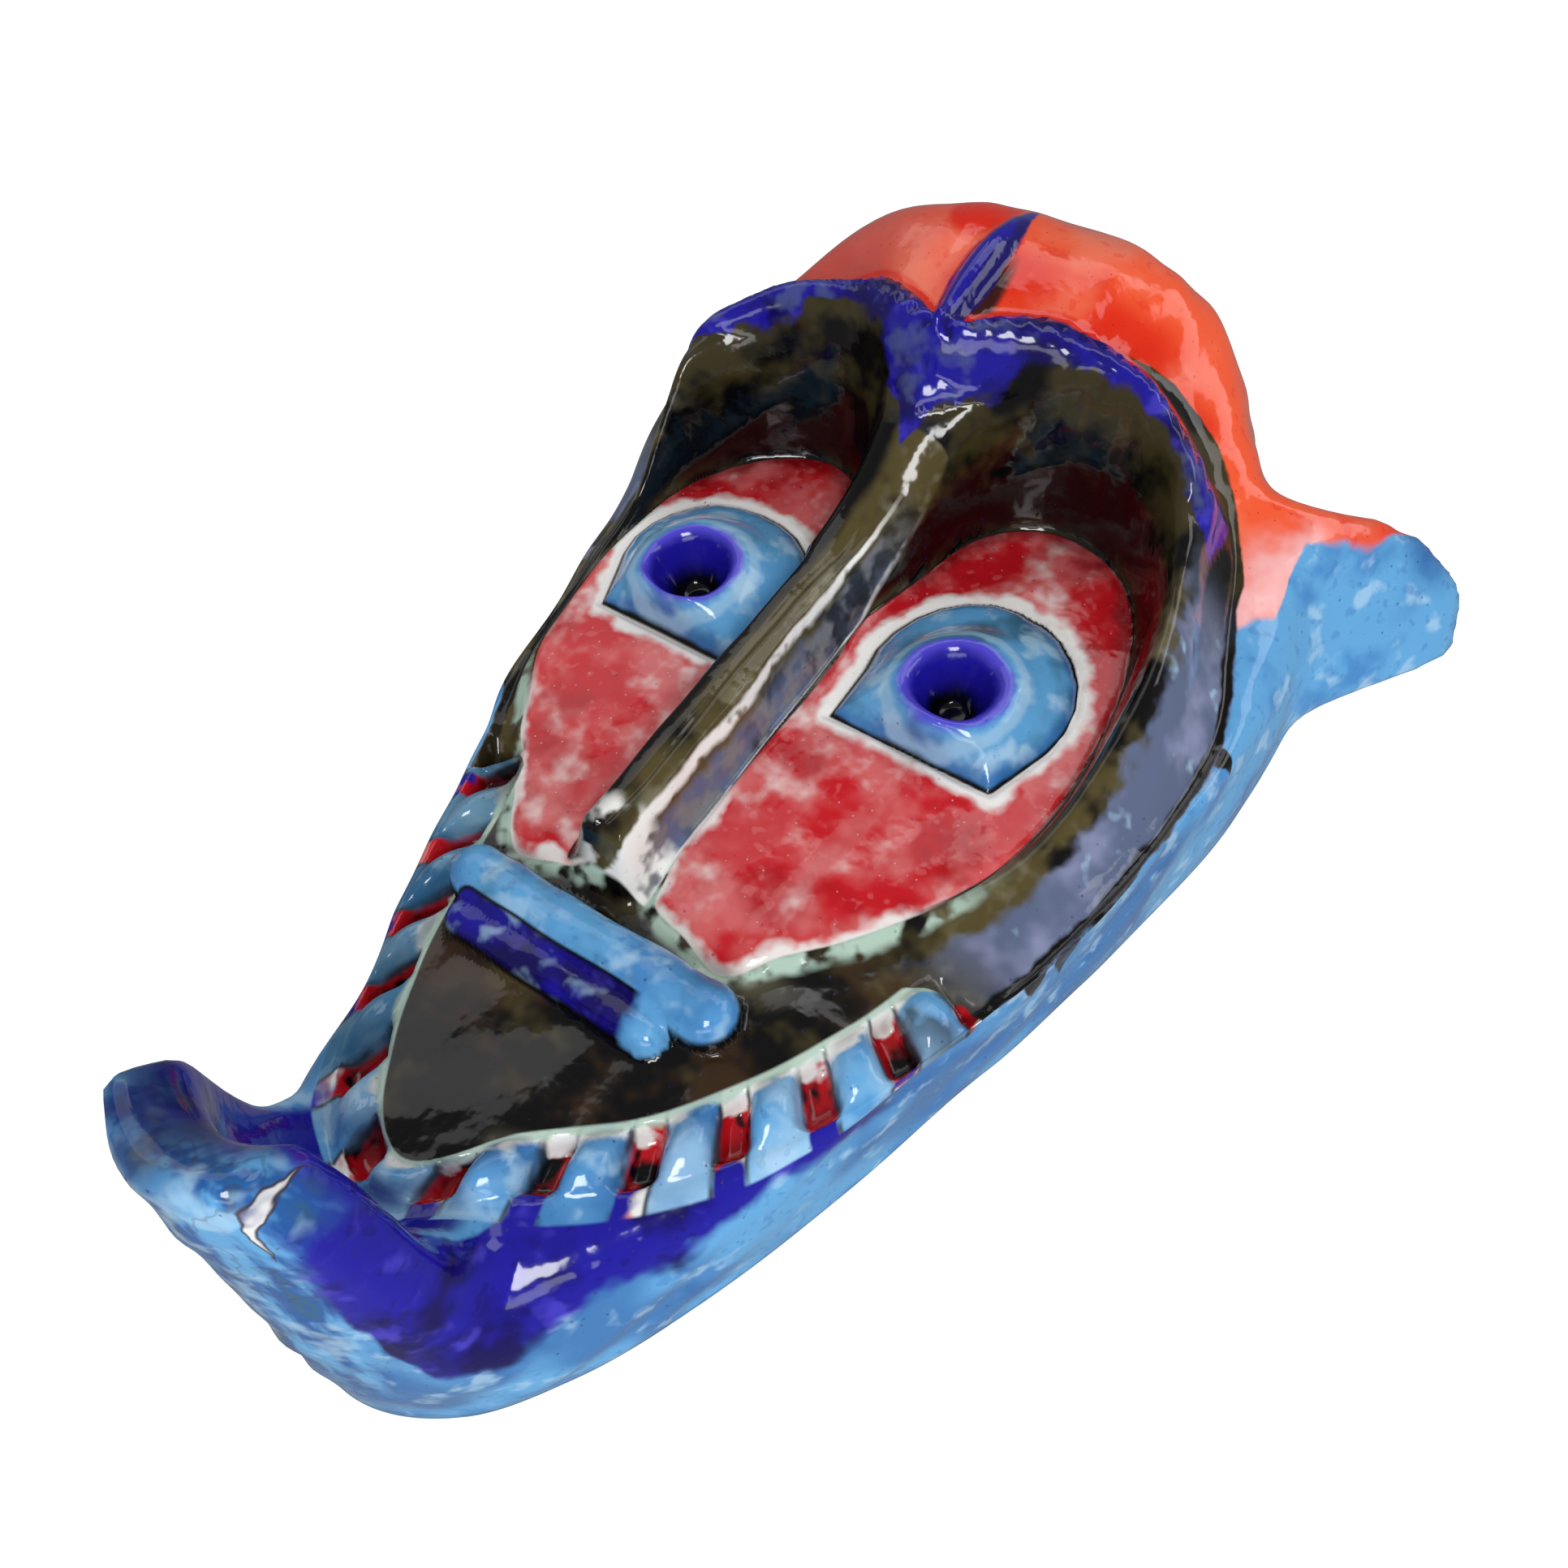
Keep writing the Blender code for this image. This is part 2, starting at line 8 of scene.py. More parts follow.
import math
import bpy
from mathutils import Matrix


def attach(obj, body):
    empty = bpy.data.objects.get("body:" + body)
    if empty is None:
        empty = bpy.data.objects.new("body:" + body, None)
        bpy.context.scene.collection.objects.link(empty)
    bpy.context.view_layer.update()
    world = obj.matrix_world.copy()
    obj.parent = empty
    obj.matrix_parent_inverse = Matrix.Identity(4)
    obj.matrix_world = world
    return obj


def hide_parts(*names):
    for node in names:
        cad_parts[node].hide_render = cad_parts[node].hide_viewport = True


bl_info = {
    "name": "Glazed Wall Mask",
    "version": (1, 0, 0),
    "blender": (4, 5, 0),
    "location": "View3D > Sidebar > Mask",
    "description": "Makes a hand-built, glazed ceramic mask with an up-curled chin, and the light it lies in",
    "category": "Add Mesh",
}

import bpy
import numpy as np
from mathutils import Matrix, Vector

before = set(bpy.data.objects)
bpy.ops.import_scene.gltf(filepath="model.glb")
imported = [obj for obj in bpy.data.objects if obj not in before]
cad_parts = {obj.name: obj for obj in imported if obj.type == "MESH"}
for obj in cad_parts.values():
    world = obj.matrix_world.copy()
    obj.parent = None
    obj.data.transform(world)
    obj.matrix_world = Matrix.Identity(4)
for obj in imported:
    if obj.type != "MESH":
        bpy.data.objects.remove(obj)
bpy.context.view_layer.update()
MM = 0.001

# Overall sizes
WALL = 9.0                  # clay thickness at the back rim and under the face
FACE_HEIGHT = 51.0          # from the back rim to the flat cheeks
BROW_HEIGHT = 104.0         # from the back rim to the crest of the brow over the nose
BROW_FALL = 15.0            # how much lower the brow lies at its ends
BROW_HALF = 78.0            # half the brow's length
MIDDLE = (0.0, -20.0)       # where the rays of the grid start, on the nose
BROW_TILT = 0.1             # how much the crown and brow rise towards the +X side
TILT_SPAN = (10.0, 80.0)    # y over which that sets in

# Outline of the face: y, half width on the +X side, half width on the -X side, height
FACE_EDGE = (
    (77, 0, 0, 108), (88, 25, 24, 105), (98, 43, 40, 98), (96, 66, 65, 84), (80, 85, 82, 69),
    (60, 96, 83, 58), (36, 107, 82, 48), (8, 107, 79, 46), (-26, 102, 72, 46), (-54, 94, 65, 46),
    (-88, 81, 52, 48), (-115, 65, 43, 47), (-139, 44, 33, 48), (-154, 24, 23, 50), (-167, 2, 2, 53),
)
# Outline of the back rim: y, half width on the +X side, half width on the -X side
BACK_RIM = (
    (169, 4, 4), (154, 51, 32), (136, 71, 56), (110, 88, 70), (80, 115, 98), (45, 117, 93),
    (14, 111, 86), (-20, 103, 79), (-55, 93, 69), (-91, 82, 58), (-115, 74, 48), (-143, 63, 37),
    (-172, 48, 35), (-193, 31, 18), (-205, 3, 3),
)
WALL_ROUNDING = 2.8         # exponent of the wall's rounded profile
CROWN_ROUNDING = 2.42       # the same over the forehead dome
CROWN_SWELL = 14.5          # how much the forehead dome bulges above that profile
CROWN_SPAN = (0.35, 0.85)   # sine of the direction, over which the wall's profile passes into the dome's
DOME_SPAN = (0.85, 1.0)     # the same for the bulge
DOME_LEAN = -0.45           # how much more it bulges towards the +X side

# Up-curled chin: distance out from the face edge and height, at the middle of the chin
CHIN_RUN = (
    (0, 53), (3, 54), (8, 64), (10, 90), (6, 116), (13, 126), (18, 125), (22, 109), (29, 68), (36, 24),
    (39, 0),
)
CHIN_REACH = 39.0           # plan distance from the face edge to the rim that CHIN_RUN is drawn for
CHIN_ANGLES = (5.3, 14.0)   # half widths of the chin's tip and of its foot, in degrees about MIDDLE
CHIN_DIRECTION = -89.3

# Ears
EAR_DIRECTIONS = (42.0, 130.5)
EAR_LEAN = 5.6              # how far, in degrees, each ear's top leans towards the crown
EAR_REACH = 45.0            # how far they stand out
EAR_FRONT = (9.0, 2.5)      # spread of the ear on its cheek side, and how squarely it ends there
EAR_BACK = (11.0, 1.8)      # the same on its crown side
EAR_LOW = (7.0, 18.0)       # heights where the ear's underside starts and ends
EAR_HIGH = (30.0, 94.0)     # heights where the ear's top starts and ends

# Cheek panels, sunk between the nose and the brow: distance from EYES_MIDDLE, y
PANEL = (
    (7, -76), (6, 8), (4, 38), (12, 61), (32, 75), (54, 71), (69, 57), (77, 38), (80, 12), (79, -12),
    (73, -33), (55, -60), (43, -73), (33, -84), (20, -81),
)
PANEL_NARROWING = 0.08      # how much narrower the outer part of the -X panel is
PANEL_SLOPE = 12.0
SOCKET_SLOPE = 13.0         # from the steep wall under the brow over its rounded lip
LIP_ROUNDING = 4.2

# Nose
NOSE_CENTRE = -4.5
EYES_MIDDLE = 2.0           # x that the eyes and cheek panels are mirrored about
NOSE_BASE_HALF = 12.0
NOSE_TOP_HALF = 7.0
NOSE_HEIGHT = 67.0
NOSE_ROUND = 4.0            # how much its crest is rounded
SOCKET_CORNER = 9.0         # rounding between the nose and the wall under the brow
NOSE_END = -79.0
FOREHEAD_SPAN = (56.0, 86.0)  # y over which the side ridges pass into the brow's crest

# Eyes
EYE_CENTRE = (42.0, 17.0)
EYE_RADIUS = 28.5
EYE_CORNERS = ((15.0, -9.0), (63.0, -9.0))
EYE_RISE = 11.0
PUPIL_CENTRE = (42.0, 9.5)
PUPIL_RADIUS = 13.5
PUPIL_DEPTH = 15.0

# Mouth rolls: x from, x to, y, height of the axis, radius
MOUTH_ROLLS = ((-31.0, 39.0, -95.0, 51.0, 8.0), (-27.0, 29.0, -105.5, 49.5, 5.5))
SNOUT_HEIGHT = 48.0
SNOUT_TIP_RISE = 7.0
SNOUT_TIP_SPAN = (-160.0, -110.0)  # y over which the snout's tip rises

# Brow ropes and forehead spike
ROPE_HALF = 7.5
ROPE_RISE = 5.5
ROPE_LOW = 69.0             # y of the ropes where they meet over the nose
ROPE_HIGH = 87.0            # y of the ropes at their highest
ROPE_ARCH = 40.0            # distance from the nose to where they are highest
ROPE_DROOP = 17.0           # how far their outer ends hang
SPIKE_FROM = 72.0
SPIKE_TO = 130.0
SPIKE_TAPER = 30.0          # length over which it sinks into the crown at its tip
SPIKE_HALF = 5.5
SPIKE_RISE = 5.0

# Mouth: a groove just inside the face edge, bridged by teeth
GROOVE_WIDTH = 16.0
CHIN_GROOVE_WIDTH = 9.0
GROOVE_DEPTH = 7.0
MOUTH_CORNER = -56.0        # y where the groove ends on both sides
TOOTH_PITCH = 20.5
TOOTH_START = 2.5           # the first tooth's middle, this far from the chin towards +X
TOOTH_WIDTH = 14.0
TOOTH_COUNT = 8             # on each side of the first tooth
TOOTH_SWELL = 4.0

# Hollow back
HOLLOW_FACE = FACE_HEIGHT - PUPIL_DEPTH + EYE_RISE - WALL
HOLLOW_JAW = SNOUT_HEIGHT - GROOVE_DEPTH - WALL
HOLLOW_JAW_SPAN = (-60.0, -30.0)  # y over which the hollow deepens from the jaw to the face
HOLLOW_BROW_SPAN = (86.0, 106.0)  # y over which it deepens under the brow
HOLLOW_BROW_GAP = 13.0      # clay between the brow's crest and the hollow
HOLLOW_ROUNDING = 8.0       # exponent of the ceiling's rounded corner at the wall
HOLLOW_CROWN_ROUNDING = 3.0  # the same under the dome

# Finer relief, worked only on the shell
NOTCH_PITCH = 5.2           # between two cuts along the brow ropes
NOTCH_DEPTH = 1.8
ROPE_TIP = 57.0             # y where the ropes' V runs out on the nose
ROPE_CLEAR = 7.5            # from the sockets' foot to the ropes' glaze
NOSE_BEADS = (6.6, 12.3)    # distance of the two beads from the nose's crest, on its +X flank; the shader paints white highlights along them
BEAD_RISE = 0.7
SCORE_DEPTH = 0.9           # lines scored round the panels and the lids
BORDER_DEPTH = 1.0          # the line scored inside the border
LID_ROLL = 1.4              # how far the lids' rims stand up inside their line
TOOTH_HANG = 0.5            # how far the teeth's glaze hangs over the face's edge, in half groove widths
LUMP_RISE = 1.1
LUMP_WAVES = (
    (61.0, (0.8, 0.5, 0.3), 0.4), (43.0, (-0.4, 0.9, 0.2), 2.1), (31.0, (0.7, -0.6, 0.4), 4.0),
    (23.0, (0.2, 0.5, -0.9), 1.3), (17.0, (-0.8, 0.1, 0.6), 5.2),
)

# Black glaze that ran down the near wall: y, half width and length
BLACK_DRIPS = ((31.0, 3.0, 9.0), (-34.0, 4.5, 20.0), (-44.0, 4.0, 16.0))

# Ring spacing
FINE_STEPS = 400
RING_EVENNESS = 1.2         # 0 follows the surface's length alone, and more evens out the rings' steps
RING_BLENDS = 4             # how often each ray's spacing is blended with its neighbours'

# Camera, in the form's own millimetres, and its right, up and forward directions
CAMERA_PLACE = (129.0, -160.7, 313.5)
CAMERA_RIGHT = (0.8279, 0.5556, -0.0773)
CAMERA_UP = (-0.4359, 0.7239, 0.5348)
CAMERA_FORWARD = (-0.353, 0.4091, -0.8414)

# Softboxes: name, azimuth and elevation in degrees, distance, width and height in metres, radiance
SOFTBOXES = (
    ("haze_far_side", 152.0, 47.0, 1.3, 1.1, 0.75, 1.0),
    ("window", -55.0, 42.0, 1.2, 0.34, 0.4, 18.0),
    ("near_side", 44.0, 32.0, 1.3, 0.8, 0.5, 2.6),
    ("low_front", -62.0, 18.0, 1.2, 0.9, 0.25, 3.5),
    ("crown_side", 88.0, 52.0, 1.3, 0.9, 0.5, 1.8),
)
AIM_HEIGHT = 0.05           # metres over the floor that the softboxes face
FLOOR_GLOW = 0.93
FLOOR_GREY = 0.25

# Refractive indices of the glaze and the bare clay, and how rough the clay is
GLAZE_IOR = 1.46
CLAY_IOR = 1.5
CLAY_ROUGHNESS = 0.82


def ramp(low, high, value):
    """Smooth step: 0 below low, 1 above high, and a cubic between."""
    t = np.clip((value - low) / (high - low), 0.0, 1.0)
    return t * t * (3.0 - 2.0 * t)


def turn_between(angle, direction):
    """Smallest signed turn from direction to angle, in radians."""
    return np.angle(np.exp(1j * (angle - direction)))


def outline_points(rows):
    """Points of a closed outline from rows of y, +X half width, -X half width and any heights."""
    points = []
    for y, plus_x, minus_x, *rest in rows:
        points.append((plus_x, y, *rest))
        if minus_x > 3:
            points.append((-minus_x, y, *rest))
    return np.array(points, dtype=float)


def closed_curve(angles, values, at):
    """Periodic cubic through values at angles; its slopes are limited, so that it never overshoots."""
    order = np.argsort(angles)
    a = angles[order]
    v = values[order]
    a = np.concatenate([a[-2:] - 2 * math.pi, a, a[:2] + 2 * math.pi])
    v = np.concatenate([v[-2:], v, v[:2]])
    step = np.diff(a)
    rise = np.diff(v) / step
    slope = np.zeros_like(v)
    mean = (rise[1:] * step[:-1] + rise[:-1] * step[1:]) / (step[1:] + step[:-1])
    most = 3 * np.minimum(np.abs(rise[1:]), np.abs(rise[:-1]))
    slope[1:-1] = np.where(rise[1:] * rise[:-1] > 0, np.clip(mean, -most, most), 0.0)
    return hermite(a, v, slope, at)


def cubic(t, start, end, lean_start, lean_end):
    """Cubic from start to end over t from 0 to 1, with its slopes there."""
    return ((1 + 2 * t) * (1 - t) ** 2 * start + t * (1 - t) ** 2 * lean_start
            + t * t * (3 - 2 * t) * end + t * t * (t - 1) * lean_end)


def hermite(knots, values, slopes, at):
    """Cubic with given values and slopes at its knots; values may have one or more columns."""
    i = np.clip(np.searchsorted(knots, at) - 1, 0, len(knots) - 2)
    span = knots[i + 1] - knots[i]
    t = (at - knots[i]) / span
    if values.ndim > 1:
        span = span[..., None]
        t = t[..., None]
    return cubic(t, values[i], values[i + 1], span * slopes[i], span * slopes[i + 1])


def path_through(points, at):
    """Smooth path through points, with at running from 0 to 1 along it."""
    p = np.array(points, dtype=float)
    length = np.linalg.norm(np.diff(p, axis=0), axis=1) ** 0.75
    knots = np.concatenate([[0.0], np.cumsum(length)]) / length.sum()
    slopes = np.empty_like(p)
    slopes[1:-1] = (p[2:] - p[:-2]) / (knots[2:] - knots[:-2])[:, None]
    slopes[0] = (p[1] - p[0]) / (knots[1] - knots[0])
    slopes[-1] = (p[-1] - p[-2]) / (knots[-1] - knots[-2])
    return hermite(knots, p, slopes, at)


def smooth_loop(points, steps=5):
    """Closed polygon that runs smoothly through points, each bend shared between its two sides."""
    p = np.array(points, dtype=float)
    side = np.roll(p, -1, axis=0) - p
    length = np.linalg.norm(side, axis=1)[:, None]
    lean = np.roll(p, -1, axis=0) - np.roll(p, 1, axis=0)
    lean = lean / np.linalg.norm(lean, axis=1)[:, None]
    t = (np.arange(steps) / steps)[:, None, None]
    curve = cubic(t, p, p + side, length * lean, length * np.roll(lean, -1, axis=0))
    return [tuple(point) for point in curve.transpose(1, 0, 2).reshape(-1, 2).tolist()]


def outline_radius(rows, angle):
    """Distance from MIDDLE to an outline at each angle, and the outline's height there if it has one."""
    points = outline_points(rows)
    dx = points[:, 0] - MIDDLE[0]
    dy = points[:, 1] - MIDDLE[1]
    angles = np.mod(np.arctan2(dy, dx), 2 * math.pi)
    radius = closed_curve(angles, np.hypot(dx, dy), angle)
    if points.shape[1] == 2:
        return radius, None
    return radius, closed_curve(angles, points[:, 2], angle)


def distance_to_polygon(x, y, corners):
    """Signed distance to a closed polygon, negative inside it."""
    nearest = np.full(x.shape, 1e6)
    inside = np.zeros(x.shape, dtype=bool)
    for (ax, ay), (bx, by) in zip(corners, list(corners[1:]) + [corners[0]]):
        along = ((x - ax) * (bx - ax) + (y - ay) * (by - ay)) / ((bx - ax) ** 2 + (by - ay) ** 2)
        along = np.clip(along, 0.0, 1.0)
        nearest = np.minimum(nearest, np.hypot(x - ax - along * (bx - ax), y - ay - along * (by - ay)))
        if ay != by:
            crosses = ((ay > y) != (by > y)) & (x < ax + (y - ay) * (bx - ax) / (by - ay))
            inside ^= crosses
    return np.where(inside, -nearest, nearest)


def brow_crest(x):
    """Height of the brow across the forehead, an arch that falls towards its ends."""
    return BROW_HEIGHT - BROW_FALL * (np.abs(x) / BROW_HALF) ** 3


def rope_middle(x):
    """y of the brow ropes: a V over the nose that rises into two flat arches."""
    lift = np.sin(np.clip(np.abs(x) / ROPE_ARCH, 0.0, 1.0) * math.pi / 2)
    return ROPE_LOW + (ROPE_HIGH - ROPE_LOW) * lift - ROPE_DROOP * ramp(ROPE_ARCH, BROW_HALF + 8, np.abs(x))


def eyes_apart(x):
    """Distance from the line that the eyes and cheek panels are mirrored about."""
    return np.abs(x - EYES_MIDDLE)


def eye_outline():
    """Corners of one eye: a round lid closed by a straight lower edge."""
    turns = np.radians(np.linspace(-15, 195, 15))
    x, y = EYE_CENTRE
    arc = [(x + EYE_RADIUS * math.cos(turn), y + EYE_RADIUS * math.sin(turn)) for turn in turns]
    return [EYE_CORNERS[1]] + arc + [EYE_CORNERS[0]]


def panel_away(x, y):
    """Signed distance to the cheek panels, negative inside them."""
    apart = eyes_apart(x)
    narrow = 1 + PANEL_NARROWING * ramp(20, 60, apart) * (x < 0)
    return distance_to_polygon(apart * narrow, y, smooth_loop(PANEL))


def nose_off(x, y):
    """Distance across the nose from its crest, which leans to -X below the brow."""
    return x - NOSE_CENTRE * (1 - ramp(20, 60, y))


def nose_crest(y):
    """Height of the nose's crest, which climbs to the brow."""
    return NOSE_HEIGHT + (BROW_HEIGHT - 6 - NOSE_HEIGHT) * ramp(26, 84, y)


def socket_away(x, y):
    """Distance from the open cheek panels and sockets, rounded between the nose and the wall."""
    away = panel_away(x, y)
    beside = NOSE_BASE_HALF - np.abs(nose_off(x, y))
    corner = SOCKET_CORNER * ramp(15, 50, y)
    joined = (away + beside + np.hypot(away - beside, corner)) / 2
    return away + (joined - away) * ramp(10, 30, y)


def cheeks_and_brow(x, y, edge_height, inward, away):
    """The broad face: side ridges, brow, sunken cheek panels and the level snout below them."""
    a = np.abs(x)
    crest = brow_crest(x)
    ridge = (np.maximum(crest, FACE_HEIGHT) - FACE_HEIGHT + 4) * ramp(-60, 80, y) * ramp(25, 75, a)
    ridge = FACE_HEIGHT - 4 + ridge
    forehead = ramp(*FOREHEAD_SPAN, y)
    land = ridge * (1 - forehead) + crest * forehead
    land = land + (edge_height - land) * (1 - ramp(0, 22, inward))
    bridge = (1 - ramp(14, 34, np.abs(nose_off(x, y)))) * ramp(10, 30, y)
    land = land + np.clip(nose_crest(y) - land, 0, None) * bridge
    slope = PANEL_SLOPE + (SOCKET_SLOPE - PANEL_SLOPE) * ramp(30, 60, y)
    sunk = (1 - np.clip(away / slope, 0, 1)) ** LIP_ROUNDING
    height = FACE_HEIGHT * sunk + land * (1 - sunk)
    below = 1 - ramp(-86, -74, y)
    tip = SNOUT_TIP_RISE * (1 - ramp(*SNOUT_TIP_SPAN, y)) * np.exp(-(x / 45) ** 2)
    return height * (1 - below) + (SNOUT_HEIGHT + tip) * below


def nose(x, y, face):
    """A long ridge with steep sides, from the brow down to a blunt end over the mouth."""
    crest = nose_crest(y)
    off = np.abs(nose_off(x, y))
    side = 1 - ramp(NOSE_TOP_HALF - 2, NOSE_BASE_HALF, off)
    end = ramp(NOSE_END - 4, NOSE_END + 6, y)
    crown = NOSE_ROUND * (0.5 - (off / NOSE_BASE_HALF) ** 2)
    return np.maximum(face, face + (crest + crown - face) * side * end)


def eyes(face, inside, off):
    """Half-round lids with a straight lower edge, each around a deep round pupil."""
    inside = np.clip(inside, 0, None)
    lid = ramp(0, 1, inside / (inside + np.clip(off - PUPIL_RADIUS, 0, None) + 1e-6))
    bowl = 1 - ramp(PUPIL_RADIUS * 0.25, PUPIL_RADIUS, off)
    return face + EYE_RISE * lid - PUPIL_DEPTH * bowl


def roll_off(x, y, roll):
    """Distance from the axis of one mouth roll."""
    start, end, middle = roll[:3]
    return np.hypot(x - np.clip(x, start, end), y - middle)


def mouth_rolls(x, y, face):
    """Two round rolls of clay laid across the snout under the nose."""
    height = face
    for roll in MOUTH_ROLLS:
        off = roll_off(x, y, roll)
        top = roll[3] + np.sqrt(np.clip(roll[4] ** 2 - off ** 2, 0, None))
        height = np.where(off < roll[4], np.maximum(height, top), height)
    return height


def brow_ropes(x, y, face):
    """Raised rolls along the brow, meeting in a V over the nose."""
    off = np.abs(y - rope_middle(x)) / ROPE_HALF
    ends = 1 - ramp(BROW_HALF, BROW_HALF + 7, np.abs(x))
    rope = np.sqrt(np.clip(1 - off ** 2, 0, 1)) * ends
    return face + ROPE_RISE * rope - NOTCH_DEPTH * rope_cuts(x, y - rope_middle(x))


def mouth_places(y, inward, along):
    """Place across the mouth's groove, -1 outside to 1 inside, and place along the row of teeth."""
    width = GROOVE_WIDTH - (GROOVE_WIDTH - CHIN_GROOVE_WIDTH) * np.exp(-(along / 18) ** 2)
    across = (inward - width / 2) / (width / 2)
    place = along - TOOTH_START
    nearest = np.abs(place - TOOTH_PITCH * np.round(place / TOOTH_PITCH))
    row = np.abs(place) < (TOOTH_COUNT + 0.5) * TOOTH_PITCH
    lower = 1 - ramp(MOUTH_CORNER - 8, MOUTH_CORNER + 2, y)
    return across, nearest, row, lower


def teeth_and_groove(y, inward, along, face):
    """A groove inside the face edge below the mouth corners, and pillow-shaped teeth that bridge it."""
    across, nearest, row, lower = mouth_places(y, inward, along)
    groove = GROOVE_DEPTH * (1 - ramp(0.55, 1.0, np.abs(across)))
    off = np.clip(nearest / (TOOTH_WIDTH / 2), 0, 1)
    tooth = (1 - off ** 3) ** 0.5 * row
    pillow = TOOTH_SWELL * tooth * np.clip(1 - across ** 2, 0, 1)
    return face + lower * (pillow - groove * (1 - tooth))


def spike_half(y):
    """Half the forehead spike's width: a leaf, widest below its middle."""
    t = np.clip((y - SPIKE_FROM) / (SPIKE_TO - SPIKE_FROM), 0.0, 1.0)
    return SPIKE_HALF * np.sin(math.pi * t ** 0.75)


def forehead_spike(x, y, height):
    """A low leaf-shaped ridge that runs up the forehead from where the ropes meet."""
    half = spike_half(y) + 0.01
    inside = (y > SPIKE_FROM) & (y < SPIKE_TO)
    taper = 1 - ramp(SPIKE_TO - SPIKE_TAPER, SPIKE_TO, y)
    return height + SPIKE_RISE * np.clip(1 - (x / half) ** 2, 0, 1) * inside * taper


def groove_length(angle):
    """Distance along the groove's middle from the chin, negative on the -X side."""
    fine = np.linspace(0, 2 * math.pi, 1441)
    radius, _ = outline_radius(FACE_EDGE, fine)
    radius = radius - GROOVE_WIDTH / 2
    steps = np.hypot(np.diff(radius * np.cos(fine)), np.diff(radius * np.sin(fine)))
    run = np.concatenate([[0.0], np.cumsum(steps)])
    start = np.interp(np.mod(math.radians(CHIN_DIRECTION), 2 * math.pi), fine, run)
    run = np.interp(np.mod(angle, 2 * math.pi), fine, run) - start
    return np.where(run < -run.max() / 1.5, run + steps.sum(), run)


def face_height(x, y, edge_height, inward, along):
    """Height of the finished face over the back rim."""
    inside = -distance_to_polygon(eyes_apart(x), y, eye_outline())
    off = np.hypot(eyes_apart(x) - PUPIL_CENTRE[0], y - PUPIL_CENTRE[1])
    height = cheeks_and_brow(x, y, edge_height, inward, socket_away(x, y))
    height = nose(x, y, height)
    height = eyes(height, inside, off)
    height = mouth_rolls(x, y, height)
    height = teeth_and_groove(y, inward, along, height)
    return height + hand_cuts(x, y, inward, inside)


def rope_cuts(x, past):
    """Cuts pressed across the brow ropes, deepest on their upper edge: 1 in the middle of a cut."""
    slant = x * 1.08 + np.sign(x) * 0.7 * past
    cut = (0.5 + 0.5 * np.cos(2 * math.pi * slant / NOTCH_PITCH)) ** 3
    on_rope = np.clip(1 - (past / ROPE_HALF) ** 2, 0, 1) * (np.abs(x) < BROW_HALF)
    return cut * on_rope * (0.25 + 0.75 * ramp(-3, 4, past))


def hand_cuts(x, y, inward, inside):
    """Finer relief: beads on the nose, rolled lid rims and lines round the panels, lids and border."""
    on_nose = ramp(NOSE_END + 4, NOSE_END + 14, y) * (1 - ramp(30, 50, y))
    off = nose_off(x, y)
    height = 0.0
    for bead in NOSE_BEADS:
        height = height + BEAD_RISE * np.exp(-((off - bead) / 1.3) ** 2) * on_nose
    height = height - SCORE_DEPTH * np.exp(-(panel_away(x, y) + 0.4) ** 2) * (1 - ramp(20, 50, y))
    height = height - SCORE_DEPTH * np.exp(-(inside / 0.9) ** 2)
    height = height + LID_ROLL * ramp(0.3, 3, inside) * (1 - ramp(5, 12, inside))
    border = ramp(MOUTH_CORNER, MOUTH_CORNER + 12, y) * (1 - ramp(70, 84, y))
    return height - BORDER_DEPTH * np.exp(-((inward - 2.0) / 1.2) ** 2) * border


def ear_half(turn, spread, power):
    """How far one half of an ear stands out at a turn from its middle: exp(-(turn / spread)^power)."""
    return np.exp(-(np.abs(turn) / spread) ** power)


